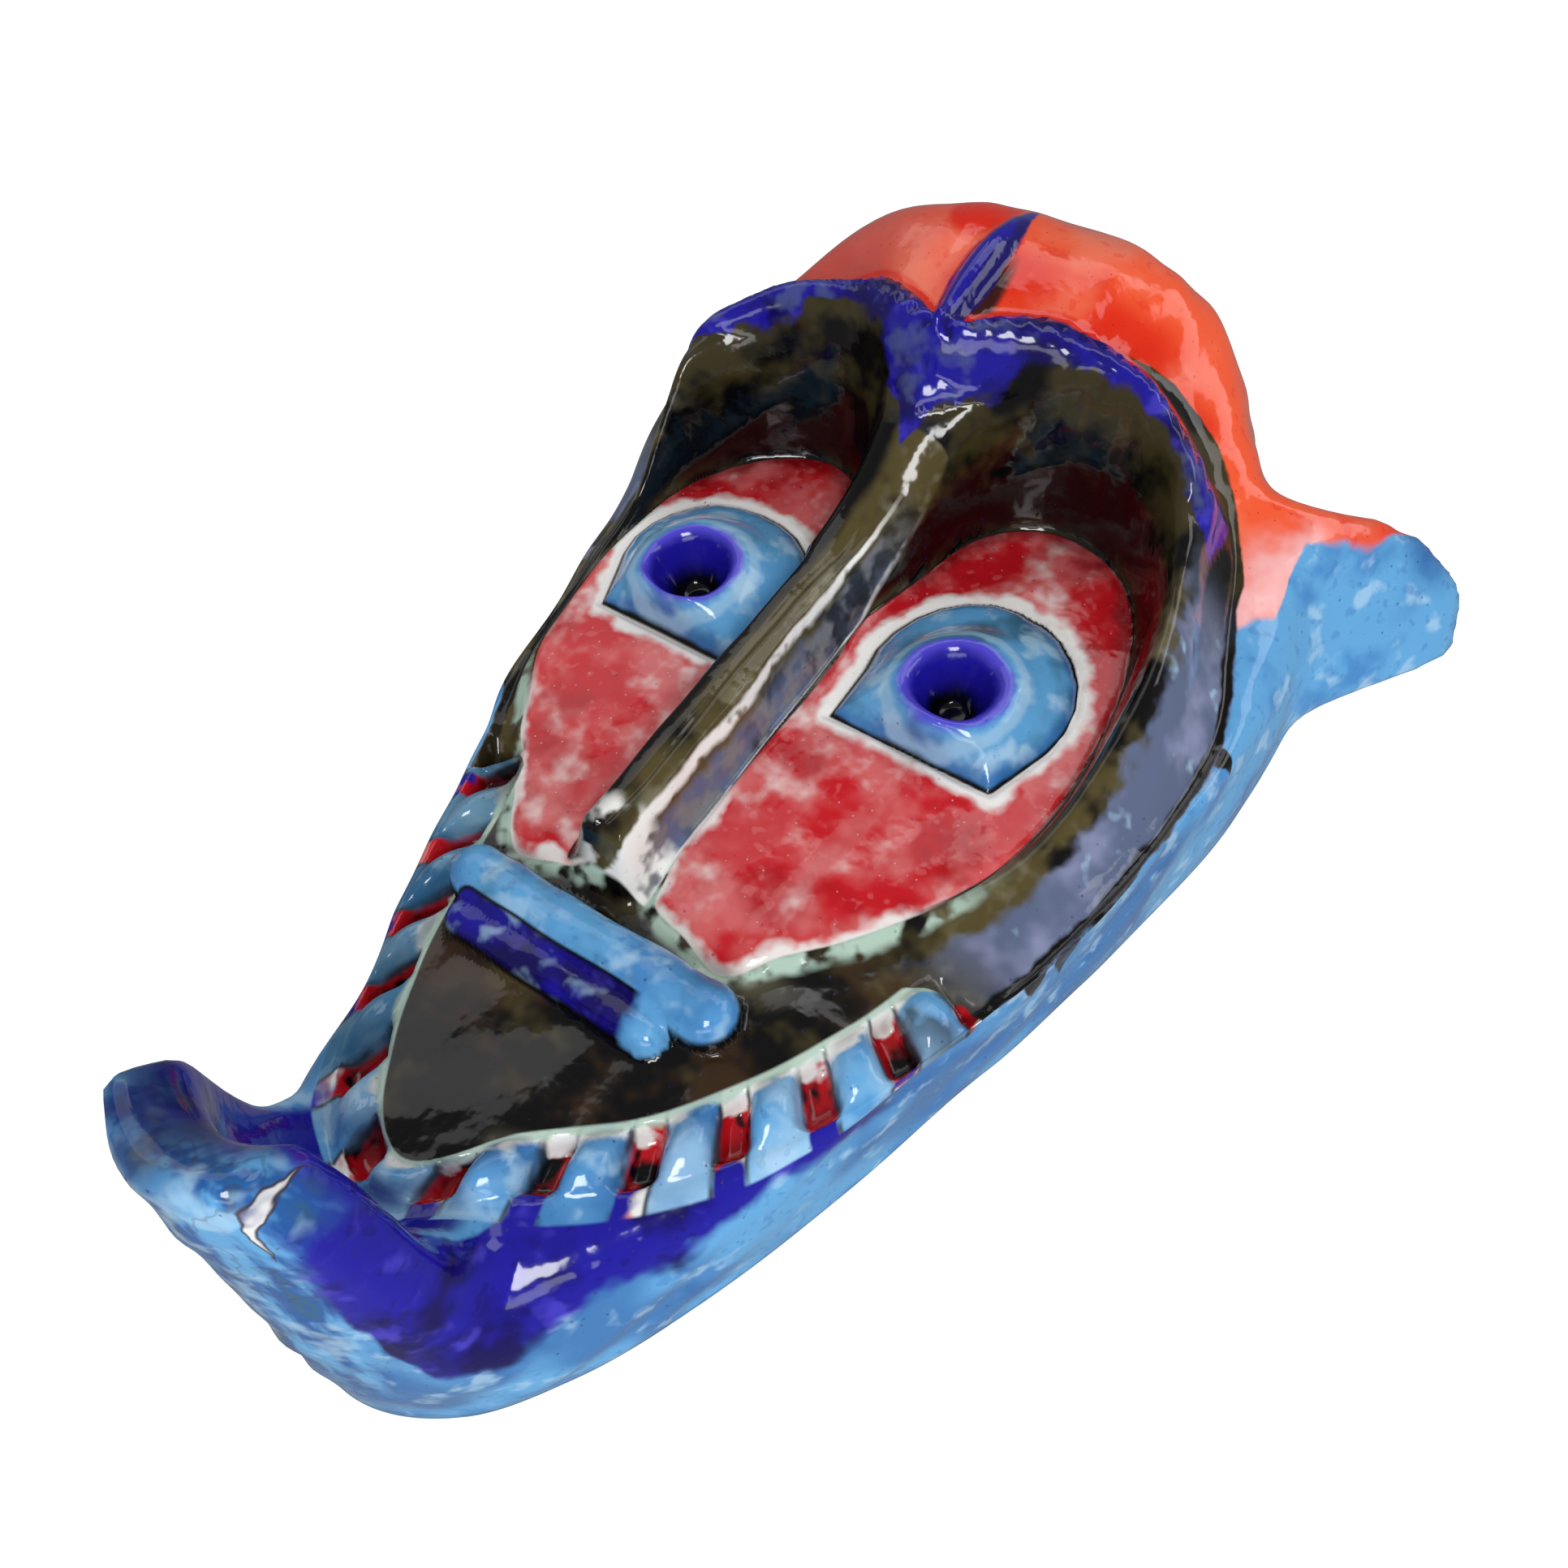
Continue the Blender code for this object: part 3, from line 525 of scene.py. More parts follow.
def outer_skin(angle, step):
    """Form coordinates and places of the glazed side.

    Step runs 0 to 1 from MIDDLE over the face to its edge, where the height is face_height, and 1 to 2 down
    the wall: out = sin(down)^p and up = cos(down)^p, a rounded profile, except at the chin, which follows
    CHIN_RUN.
    """
    edge, edge_height = outline_radius(FACE_EDGE, angle)
    rim, _ = outline_radius(BACK_RIM, angle)
    along = groove_length(angle)
    cos, sin = np.cos(angle), np.sin(angle)
    share = np.clip(step, 0, 1)
    down = np.clip(step - 1, 0, 1)
    radius = edge * share
    height = face_height(MIDDLE[0] + radius * cos, MIDDLE[1] + radius * sin, edge_height,
                         edge * (1 - share), along)
    at_edge = face_height(MIDDLE[0] + edge * cos, MIDDLE[1] + edge * sin, edge_height, 0 * edge, along)
    crown = ramp(*CROWN_SPAN, sin)
    power = 2 / (WALL_ROUNDING + (CROWN_ROUNDING - WALL_ROUNDING) * crown)
    out = np.sin(down * math.pi / 2) ** power
    up = np.cos(down * math.pi / 2) ** power
    wall_radius = edge + (rim - edge) * out
    dome = ramp(*DOME_SPAN, sin) * (1 + DOME_LEAN * cos)
    wall_height = at_edge * up + CROWN_SWELL * dome * np.sin(math.pi * np.clip(down * 1.25, 0, 1))
    # the chin curls up out of the jaw
    off = np.degrees(turn_between(angle, math.radians(CHIN_DIRECTION)))
    curl = 1 - ramp(*CHIN_ANGLES, np.abs(off))
    run = path_through(CHIN_RUN, down)
    wall_radius = wall_radius * (1 - curl) + (edge + run[..., 0] * (rim - edge) / CHIN_REACH) * curl
    wall_height = wall_height * (1 - curl) + run[..., 1] * curl
    # the ears stand out of the wall
    crownward = np.full(angle.shape, 1e3)
    for direction in EAR_DIRECTIONS:
        side = 1 if direction < 90 else -1
        lean = EAR_LEAN * side * ramp(15, 60, wall_height)
        turn = turn_between(angle, np.radians(direction + lean)) * side * rim
        ear = np.where(turn < 0, ear_half(turn, *EAR_FRONT), ear_half(turn, *EAR_BACK))
        level = ramp(*EAR_LOW, wall_height) * (1 - ramp(*EAR_HIGH, wall_height))
        wall_radius = wall_radius + EAR_REACH * ear * level
        crownward = np.minimum(crownward, turn)
    radius = np.where(step > 1, wall_radius, radius)
    height = np.where(step > 1, wall_height, height)
    x = MIDDLE[0] + radius * cos
    y = MIDDLE[1] + radius * sin
    height = forehead_spike(x, y, brow_ropes(x, y, height))
    inward = np.where(step > 1, -np.hypot(edge - wall_radius, at_edge - wall_height), edge * (1 - share))
    places = {"form_x": x, "form_y": y, "inward": inward, "along": along, "down": down, "chin": curl,
              "crown": crownward}
    return tilted(x, y, height), places


def tilted(x, y, z):
    """Points with the brow and crown sheared up on the +X side, as the uneven hand-built mask has them."""
    return np.stack([x, y + BROW_TILT * x * ramp(*TILT_SPAN, y), z], axis=-1)


def hollow_skin(angle, share):
    """Points of the plain hollow side: share runs from 1 at the rim to 0 under the middle of the face.

    The ceiling's height falls to the rim as (1 - share^p)^(1/p).
    """
    rim, _ = outline_radius(BACK_RIM, angle)
    swing = (outline_radius(BACK_RIM, angle + 0.01)[0] - outline_radius(BACK_RIM, angle - 0.01)[0]) / 0.02
    radius = (rim - WALL * np.hypot(1, swing / rim)) * share
    x = MIDDLE[0] + radius * np.cos(angle)
    y = MIDDLE[1] + radius * np.sin(angle)
    ceiling = HOLLOW_JAW + (HOLLOW_FACE - HOLLOW_JAW) * ramp(*HOLLOW_JAW_SPAN, y)
    brow = brow_crest(x) - HOLLOW_BROW_GAP
    ceiling = ceiling + (np.maximum(brow, HOLLOW_FACE) - HOLLOW_FACE) * ramp(*HOLLOW_BROW_SPAN, y)
    crown = ramp(*CROWN_SPAN, np.sin(angle))
    power = HOLLOW_ROUNDING + (HOLLOW_CROWN_ROUNDING - HOLLOW_ROUNDING) * crown
    return tilted(x, y, ceiling * np.clip(1 - share ** power, 0, 1) ** (1 / power))


def grid_normals(points):
    """Unit normals of a closed ring grid, from the cross product of its two directions."""
    round_ring = np.roll(points, -1, axis=1) - np.roll(points, 1, axis=1)
    across_rings = np.gradient(points, axis=0)
    normal = np.cross(across_rings, round_ring)
    return normal / np.maximum(np.linalg.norm(normal, axis=-1, keepdims=True), 1e-9)


def hand_lumps(points):
    """Unevenness of hand-pressed clay in millimetres: a sum of slow sine waves in slanted directions."""
    lump = 0.0
    for size, (ax, ay, az), start in LUMP_WAVES:
        phase = (points @ np.array([ax, ay, az])) * 2 * math.pi / size + start
        lump = lump + np.sin(phase + 1.3 * np.sin(phase * 0.37 + start))
    return LUMP_RISE * lump / len(LUMP_WAVES)


def glaze_places(places):
    """Signed distances in millimetres, positive inside, to each glazed area: the shader's attributes."""
    x, y, inward, along = places["form_x"], places["form_y"], places["inward"], places.pop("along")
    on_face = np.clip(inward * 4, -8, 0)
    past = y - rope_middle(x)
    drip = np.minimum((y - ROPE_TIP) * 0.62 - np.abs(x), ROPE_LOW + 4 - y)
    rope = np.minimum(ROPE_HALF - np.abs(past), BROW_HALF + 6 - np.abs(x))
    away = socket_away(x, y)
    rope = np.minimum(rope, away - ROPE_CLEAR)
    across, nearest, row, lower = mouth_places(y, inward, along)
    off = nose_off(x, y)
    upper, bar = MOUTH_ROLLS
    made = {
        "away": away,
        "panel": -away + on_face,
        "eye": -distance_to_polygon(eyes_apart(x), y, eye_outline()),
        "pupil": np.hypot(eyes_apart(x) - PUPIL_CENTRE[0], y - PUPIL_CENTRE[1]),
        "rope": np.maximum(rope, drip),
        "past_rope": past,
        "spike": spike_half(y) - np.abs(x) - 40 * ((y < SPIKE_FROM) | (y > SPIKE_TO)),
        "nose": np.minimum(np.minimum(NOSE_BASE_HALF - np.abs(off), y - NOSE_END), 60 - y) + on_face,
        "nose_off": off,
        "roll": upper[4] - roll_off(x, y, upper),
        "bar": bar[4] - roll_off(x, y, bar),
        "tooth": np.where(row, TOOTH_WIDTH / 2 - nearest, -9.0),
        "groove": np.minimum(1 - across, across + 1 + TOOTH_HANG) * GROOVE_WIDTH / 2 - 20 * (1 - lower * row),
        "over": across,
        "cut": rope_cuts(x, past),
    }
    made.update(places)
    return made


def ring_faces(rings, rays, first, last):
    """Quads between the rings, and a fan of triangles at each end, wound to face outwards."""
    ring, ray = np.meshgrid(np.arange(rings - 1), np.arange(rays), indexing="ij")
    after = (ray + 1) % rays
    quads = np.stack([ring * rays + ray, (ring + 1) * rays + ray, (ring + 1) * rays + after,
                      ring * rays + after], axis=-1).reshape(-1, 4)
    ray = np.arange(rays)
    after = (ray + 1) % rays
    end = (rings - 1) * rays
    fans = np.concatenate([np.stack([np.full(rays, first), ray, after], axis=1),
                           np.stack([np.full(rays, last), end + after, end + ray], axis=1)])
    return quads, fans


def even_steps(angle, start, end, rings):
    """Steps of the rings between two steps, ray by ray, spaced evenly along the surface."""
    fine = np.linspace(start, end, FINE_STEPS)
    points, _ = outer_skin(*np.meshgrid(angle, np.clip(fine, start + 1e-9, end)))
    run = np.linalg.norm(np.diff(points, axis=0), axis=-1)
    run = run + RING_EVENNESS * run.mean(axis=0)
    for _ in range(RING_BLENDS):
        run = (np.roll(run, 1, axis=1) + run + np.roll(run, -1, axis=1)) / 3
    run = np.concatenate([np.zeros((1, len(angle))), np.cumsum(run, axis=0)])
    share = np.arange(1, rings + 1) / rings
    return np.stack([np.interp(share * length[-1], length, fine) for length in run.T], axis=1)


def shell_grid(form):
    """All points of the shell, ring by ring from the face to the rim and back, and their place values."""
    angle = np.arange(form.rays) * 2 * math.pi / form.rays
    angles = np.repeat(angle[None, :], form.face_rings + form.wall_rings, axis=0)
    steps = np.concatenate([even_steps(angle, 0.0, 1.0, form.face_rings),
                            even_steps(angle, 1.0, 2.0, form.wall_rings)])
    glazed, places = outer_skin(angles, steps)
    centre = (glazed.min(axis=(0, 1)) + glazed.max(axis=(0, 1))) / 2
    normal = grid_normals(glazed)
    settle = ramp(0, 6, glazed[..., 2:])
    glazed = glazed + normal * hand_lumps(glazed)[..., None] * settle
    glazed[-1, :, 2] = 0.0
    values = glaze_places(places)
    hollow = hollow_skin(*np.meshgrid(angle, np.linspace(1, 0, form.hollow_rings + 1)[:-1] ** 0.5))
    hollow[0, :, 2] = 0.0
    top, _ = outer_skin(np.zeros(1), np.zeros(1))
    under = hollow_skin(np.zeros(1), np.zeros(1))
    rings = np.concatenate([glazed, hollow])
    points = np.concatenate([rings.reshape(-1, 3), top, under]) - np.array([centre[0], centre[1], 0.0])
    spare = len(points) - glazed.shape[0] * form.rays
    fields = {name: np.concatenate([value.ravel(), np.zeros(spare)]) for name, value in values.items()}
    inner = np.ones(len(points))
    inner[:glazed.shape[0] * form.rays] = 0.0
    inner[len(points) - 2] = 0.0
    for name in fields:
        fields[name][len(points) - 2] = values[name][0, 0]
    fields["hollow"] = inner
    return points * MM, rings.shape[0], fields, centre


def make_shell(form):
    """The glazed shell as one closed mesh object with its place attributes."""
    points, rings, fields, centre = shell_grid(form)
    quads, fans = ring_faces(rings, form.rays, len(points) - 2, len(points) - 1)
    mesh = bpy.data.meshes.new("glazed_shell")
    mesh.vertices.add(len(points))
    mesh.vertices.foreach_set("co", points.ravel())
    mesh.loops.add(quads.size + fans.size)
    mesh.loops.foreach_set("vertex_index", np.concatenate([quads.ravel(), fans.ravel()]))
    mesh.polygons.add(len(quads) + len(fans))
    starts = np.concatenate([np.arange(len(quads)) * 4, quads.size + np.arange(len(fans)) * 3])
    mesh.polygons.foreach_set("loop_start", starts)
    mesh.update(calc_edges=True)
    mesh.validate()
    mesh.shade_smooth()
    for name, value in fields.items():
        layer = mesh.attributes.new(name, "FLOAT", "POINT")
        layer.data.foreach_set("value", value.astype(np.float32))
    shell = bpy.data.objects.new("glazed_shell", mesh)
    bpy.context.scene.collection.objects.link(shell)
    return shell, centre


class Wire:
    """A shader socket that takes part in Python arithmetic; each operator adds one Math node."""

    def __init__(self, tree, socket):
        self.tree = tree
        self.socket = socket

    def maths(self, operation, *values):
        return add_node(self.tree, "ShaderNodeMath", {"operation": operation}, dict(enumerate(values)))

    def __add__(self, other):
        return self.maths("ADD", self, other)

    def __radd__(self, other):
        return self.maths("ADD", other, self)

    def __sub__(self, other):
        return self.maths("SUBTRACT", self, other)

    def __rsub__(self, other):
        return self.maths("SUBTRACT", other, self)

    def __mul__(self, other):
        return self.maths("MULTIPLY", self, other)

    def __rmul__(self, other):
        return self.maths("MULTIPLY", other, self)

    def __truediv__(self, other):
        return self.maths("DIVIDE", self, other)

    def __pow__(self, other):
        return self.maths("POWER", self, other)

    def __abs__(self):
        return self.maths("ABSOLUTE", self)

    def __or__(self, other):
        return self.maths("MAXIMUM", self, other)


def add_node(tree, kind, settings, values, output=0):
    """Adds a node with its settings, then gives its sockets values or links, and returns one output."""
    node = tree.nodes.new(kind)
    for name, value in settings.items():
        setattr(node, name, value)
    for key, value in values.items():
        if isinstance(value, Wire):
            tree.links.new(value.socket, node.inputs[key])
        else:
            node.inputs[key].default_value = value
    return Wire(tree, node.outputs[output])


class Glazes:
    """The painter's tools: places on the shell, mottling, soft edges and colour over colour."""

    def __init__(self, tree):
        self.tree = tree
        self.places = {}
        self.at = add_node(tree, "ShaderNodeTexCoord", {}, {}, "Object")
        self.cloud = self.mottle(26, 2.0, 0.0)
        self.patch = self.mottle(12, 3.0, 3.0)
        self.patch_b = self.mottle(11, 3.0, 17.0)
        self.fleck = self.mottle(5, 2.5, 6.0)
        self.fleck_b = self.mottle(5.5, 2.5, 23.0)
        self.grain = self.mottle(1.8, 1.0, 9.0)
        self.streak = self.mottle(6, 3.0, 11.0, (1.6, 1.6, 0.35))
        self.small_pits = self.pits(3.1, 0.26, 2.0)

    def place(self, name):
        """One of the shell's place values, read once and shared."""
        if name not in self.places:
            settings = {"attribute_name": name}
            self.places[name] = add_node(self.tree, "ShaderNodeAttribute", settings, {}, "Fac")
        return self.places[name]

    def mottle(self, size, detail, shift, stretch=(1, 1, 1)):
        """Noise from 0 to 1 with features of a size in millimetres, stretched along the axes."""
        at = add_node(self.tree, "ShaderNodeMapping", {},
                      {"Vector": self.at, "Location": (shift, shift * 0.7, -shift), "Scale": stretch})
        return add_node(self.tree, "ShaderNodeTexNoise", {},
                        {"Vector": at, "Scale": 0.5 / (size * MM), "Detail": detail, "Roughness": 0.55})

    def pits(self, size, radius, shift=0.0):
        """1 in small round pits: the middles of scattered cells of a size in millimetres."""
        at = add_node(self.tree, "ShaderNodeMapping", {},
                      {"Vector": self.at, "Location": (shift, -shift, shift)})
        far = add_node(self.tree, "ShaderNodeTexVoronoi", {},
                       {"Vector": at, "Scale": 1 / (size * MM)}, "Distance")
        return self.fall(far, radius * 0.5 / size, radius * 1.2 / size)

    def height(self):
        """Height over the back rim in millimetres."""
        return add_node(self.tree, "ShaderNodeSeparateXYZ", {}, {0: self.at}, "Z") * (1 / MM)

    def edge(self, value, low, high, top=1.0):
        """Soft step from 0 at low to top at high."""
        return add_node(self.tree, "ShaderNodeMapRange", {"interpolation_type": "SMOOTHSTEP"},
                        {"Value": value, "From Min": low, "From Max": high, "To Max": top})

    def fall(self, value, low, high, top=1.0):
        """Soft step from top at low to 0 at high."""
        return self.edge(value, high, low, top)

    def wobble(self, width, noise=None):
        """Unevenness of a glaze's edge, up to half a width either way."""
        return ((noise or self.fleck) - 0.5) * width

    def mix(self, share, under, over):
        """Colour over colour by a share from 0 to 1."""
        return add_node(self.tree, "ShaderNodeMix", {"data_type": "RGBA"},
                        {0: share, 6: self.colour(under), 7: self.colour(over)}, 2)

    def coats(self, colour, *layers):
        """Colour with layers over it in turn: each is a share, or what edge takes for it, and a colour."""
        for *share, over in layers:
            colour = self.mix(share[0] if len(share) == 1 else self.edge(*share), colour, over)
        return colour

    def colour(self, value):
        """A colour as a socket takes it: a wire as it is, and red, green and blue with an alpha of 1."""
        return value if isinstance(value, Wire) else (*value, 1.0)

    def spot(self, x, y, wide, high, soft=0.6):
        """1 inside an ellipse of the form's x and y, in millimetres, fading to 0 around it."""
        away = ((self.place("form_x") - x) / wide) ** 2.0 + ((self.place("form_y") - y) / high) ** 2.0
        return self.fall(away, 1 - soft, 1 + soft)


def linear(red, green, blue):
    """A colour given as screen values from 0 to 255, as the linear light that shaders take."""
    share = np.array([red, green, blue]) / 255.0
    return tuple(np.where(share <= 0.04045, share / 12.92, ((share + 0.055) / 1.055) ** 2.4).tolist())


PALE_BLUE = linear(176, 212, 236)
MID_BLUE = linear(64, 128, 192)
DEEP_BLUE = linear(36, 92, 160)
TEAL = linear(52, 98, 118)
NAVY = linear(18, 10, 84)
VIOLET = linear(84, 74, 210)
LAVENDER = linear(136, 142, 176)
SLATE = linear(92, 104, 134)
SCARLET = linear(226, 36, 8)
PEACH = linear(244, 150, 122)
SALMON = linear(206, 92, 84)
CRIMSON = linear(112, 4, 12)
ROSE = linear(222, 120, 120)
BLACK = linear(7, 6, 7)
OLIVE = linear(84, 74, 42)
BROWN = linear(62, 42, 24)
STONE = linear(132, 126, 102)
GREY = linear(118, 120, 126)
SOOT = linear(44, 44, 48)
WHITE = linear(240, 240, 236)
BLUSH = linear(250, 206, 208)
GREEN_WHITE = linear(180, 206, 190)
CLAY = linear(196, 160, 128)


def ink_glaze(g, glaze):
    """Cobalt that pools to navy and thins to violet."""
    return g.coats(
        glaze.cobalt,
        (g.patch, 0.46, 0.62, NAVY),
        (g.fleck, 0.56, 0.72, 0.5, VIOLET),
        (g.grain, 0.62, 0.72, 0.4, NAVY))


def sky_glaze(g, glaze):
    """Light blue with deeper pools and pale runs."""
    return g.coats(
        glaze.light_blue,
        (g.patch, 0.48, 0.66, 0.8, MID_BLUE),
        (g.cloud, 0.54, 0.68, 0.7, DEEP_BLUE),
        (g.fleck, 0.54, 0.7, 0.6, PALE_BLUE),
        (g.grain, 0.6, 0.7, 0.45, MID_BLUE))


def wall_glaze(g, glaze, sky, ink):
    """Light blue side wall, cobalt jaw band and orange-red crown, by place on the shell, with painted
    reflections: salmon on the crown's far side and blush on the near ear.
    """
    x, y, height = g.place("form_x"), g.place("form_y"), g.height()
    wobble = g.wobble(30, g.patch)
    climb = g.fall(x, 20, 34) * g.fall(y, -150, -120, 45)
    band = g.edge(height + wobble - climb, 34, 40) * g.fall(y + wobble * 0.8, -92, -76)
    far_band = g.edge(height + wobble, 22, 30) * g.fall(x, -60, -20) * g.fall(y, -96, -70)
    # painted reflection: a blush-white haze on the near ear
    near_ear_painted_reflection = g.spot(106, 70, 17, 20) * g.edge(g.patch_b, 0.34, 0.6, 0.75)
    fire = g.coats(
        glaze.orange,
        (g.cloud, 0.42, 0.62, SCARLET),
        (g.patch, 0.46, 0.72, 0.4, PEACH),
        (g.grain, 0.6, 0.7, 0.35, SCARLET),
        # painted reflection: salmon haze over the crown's far (-X) side
        (g.fall(x, -34, -14, 0.75), SALMON),
        (g.spot(-11, 122, 9, 14, 0.3), SCARLET),
        (g.spot(6, 87, 3.2, 15, 0.7) * 0.95, BLACK),
        (g.small_pits * 0.5, CRIMSON),
        (near_ear_painted_reflection, BLUSH))
    root = g.fall(g.patch * 12 - g.place("inward"), 13, 24) * g.edge(y, 40, 56, 18)
    crown = g.place("crown") + root - g.edge(x, 114, 128, 8) + g.wobble(10, g.patch)
    return g.coats(sky, (band | far_band, ink), (g.edge(crown, -5.5, -3.5), fire))


def chin_glaze(g, glaze, colour, ink):
    """The curled chin: cobalt inside, navy tip and a streaked light blue outside."""
    x, down = g.place("form_x"), g.place("down")
    wobble = g.wobble(14)
    tip = g.edge(down, 0.3, 0.36) * g.fall(down, 0.42, 0.5) * g.fall(x, 0, 14)
    scar = abs(x - 20 + wobble * 0.3) * 3.4 + abs(down - 0.45) * 55
    piece = g.coats(
        glaze.light_blue,
        (g.streak, 0.44, 0.6, DEEP_BLUE),
        (g.streak, 0.6, 0.68, 0.7, TEAL),
        (g.fleck_b, 0.5, 0.66, 0.6, PALE_BLUE),
        (g.fall(abs(g.patch - 0.6), 0.004, 0.016, 0.3), BROWN),
        (g.fall(down + g.patch * 0.12, 0.4, 0.47), ink),
        (tip * g.edge(g.patch, 0.38, 0.55, 0.8), g.mix(g.edge(g.fleck, 0.5, 0.6), NAVY, BROWN)),
        (g.fall(scar, 4.4, 5.6, 0.85), BROWN),
        (g.fall(scar, 3.0, 4.4, 0.9), g.mix(g.edge(g.fleck_b, 0.45, 0.6), WHITE, LAVENDER)))
    front = g.fall(x + wobble * 0.4, 21, 25)
    return g.mix(g.edge(g.place("chin"), 0.3, 0.6) * front * g.fall(down, 0.8, 0.92), colour, piece)


def land_glaze(g):
    """Inside the face's edge: black border, slate and olive bands, and the black-brown snout; the slate band
    outside the cheek panels is partly glaze colour and partly a painted reflection.
    """
    y, away = g.place("form_y"), g.place("away")
    wobble = g.wobble(14)
    earth = g.coats(
        BLACK,
        (g.patch, 0.48, 0.64, 0.9, BROWN),
        (g.patch_b, 0.54, 0.68, 0.6, OLIVE),
        (g.cloud, 0.6, 0.7, 0.45, STONE))
    ridge = g.coats(
        OLIVE,
        (g.patch_b, 0.46, 0.62, BLACK),
        (g.edge(g.fleck, 0.52, 0.68, 0.7) * g.fall(y, 40, 62, 0.75), STONE),
        (y, 44, 60, 0.5, BLACK))
    # slate with lavender and pale blue outside the cheek panels: partly the glaze's colour, partly a painted
    # reflection of a lamp
    slate = g.coats(
        SLATE,
        (g.patch, 0.5, 0.7, LAVENDER),
        (g.fleck_b, 0.62, 0.72, 0.6, PALE_BLUE))
    above = g.edge(y + wobble * 2, -74, -54)
    side = g.edge(away + wobble, 7.5, 11.5) * g.edge(y, -66, -40) * g.fall(y, 40, 66)
    pale_rim = g.fall(abs(away - 1.5 + wobble * 0.3), 0.8, 3.4) * g.fall(y, -46, -24)
    border = g.fall(abs(g.place("inward") - 1.6 + wobble * 0.25), 0.9, 2.0)
    socket = g.edge(away, -0.5, 0.8) * g.fall(away + wobble * 0.5, 2.2, 5.0) * g.edge(y, -30, 10)
    return g.coats(
        earth,
        (above, g.mix(side, ridge, slate)),
        (pale_rim * g.edge(g.fleck_b, 0.42, 0.54), GREEN_WHITE),
        (border * above * g.fall(y, 52, 64), BLACK),
        (socket, BLACK))


def face_share(g):
    """1 inside the face's edge and where its black border runs over the far wall, 0 on the rest."""
    y = g.place("form_y")
    wobble = g.wobble(14)
    far_side = g.fall(g.place("form_x") + wobble, -70, -62) * g.edge(y, -50, -20, 16) * g.fall(y, 88, 96)
    return g.edge(g.place("inward") + wobble * 0.25 + far_side, -0.4, 0.4)


def wall_drips(g, colour):
    """Black glaze that ran from the border down the near wall."""
    wobble = g.wobble(14)
    near = g.edge(g.place("form_x"), 20, 40)
    for middle, half, long in BLACK_DRIPS:
        left = g.edge(g.place("inward"), -long, 0, half)
        drip = g.edge(left - abs(g.place("form_y") - middle + wobble * 0.25), 0, 0.8)
        colour = g.mix(drip * near, colour, BLACK)
    return colour


def panel_glaze(g, glaze, colour):
    """Deep red cheek panels with clouds of pink and white, a pale lower edge, and painted shade of darker
    crimson along their top under the brow's wall.
    """
    depth, y = g.place("panel"), g.place("form_y")
    wobble = g.wobble(12)
    cloud = g.edge(g.patch + g.wobble(0.3), 0.42, 0.66)
    under = g.fall(depth + wobble, 0.2, 3.6) * g.fall(y, -50, -30, 0.9)
    # painted shade: darker crimson along the panels' top edge, under the brow's wall
    top = g.fall(depth + wobble, 1, 7) * g.edge(y, 30, 50, 0.7)
    line = g.fall(abs(depth), 0.4, 1.2) * g.edge(y + wobble, -52, -36)
    red = g.coats(
        glaze.red,
        (g.patch_b, 0.5, 0.68, 0.35, CRIMSON),
        (cloud * 0.7, ROSE),
        (cloud * g.edge(g.fleck_b, 0.5, 0.72, 0.7), WHITE),
        (g.grain, 0.6, 0.7, 0.3, ROSE),
        (g.small_pits * 0.6, WHITE),
        (under, WHITE),
        (top, CRIMSON),
        (g.fall(wobble * 0.8 - g.place("eye"), 1.8, 5.2, 0.95), WHITE),
        (line, BLACK))
    return g.mix(g.edge(depth, -0.3, 0.5), colour, red)


def nose_glaze(g, colour):
    """Black far side, olive crest, a grey near flank that is a painted reflection, between two white lines
    that are painted highlights on its beads, and a speckled blunt end.
    """
    off, y = g.place("nose_off"), g.place("form_y")
    wobble = g.wobble(6)
    low = g.fall(y, 30, 52)
    # painted reflection: the near flank is coloured grey, soot and slate as the glaze's reflection of a lamp
    flank = g.edge(off + wobble * 0.3, 7.2, 8.2) * g.fall(off, 12.0, 13.5) * low
    painted_reflection_grey = g.mix(g.edge(g.patch, 0.4, 0.6), SOOT, SLATE)
    dark = g.coats(
        BLACK,
        (g.edge(off + wobble * 0.6, -4, 0) * g.edge(g.patch_b, 0.3, 0.5), OLIVE),
        (g.edge(off + wobble, 0, 6) * g.edge(g.fleck_b, 0.5, 0.64, 0.7), STONE),
        (flank, g.mix(g.edge(g.fleck, 0.42, 0.58), GREY, painted_reflection_grey)))
    # painted highlights: white lines along the two beads
    for bead in NOSE_BEADS:
        line = g.fall(abs(off - bead + wobble * 0.2), 0.2, 0.8)
        dark = g.mix(line * low * g.edge(g.fleck_b, 0.34, 0.46), dark, WHITE)
    speckled = g.fall(y - wobble * 2, NOSE_END + 10, NOSE_END + 16) * g.edge(off, -10, 0)
    speckled = speckled * g.edge(g.fleck, 0.42, 0.54)
    return g.mix(g.edge(g.place("nose"), -0.4, 0.4), colour, g.mix(speckled, dark, WHITE))


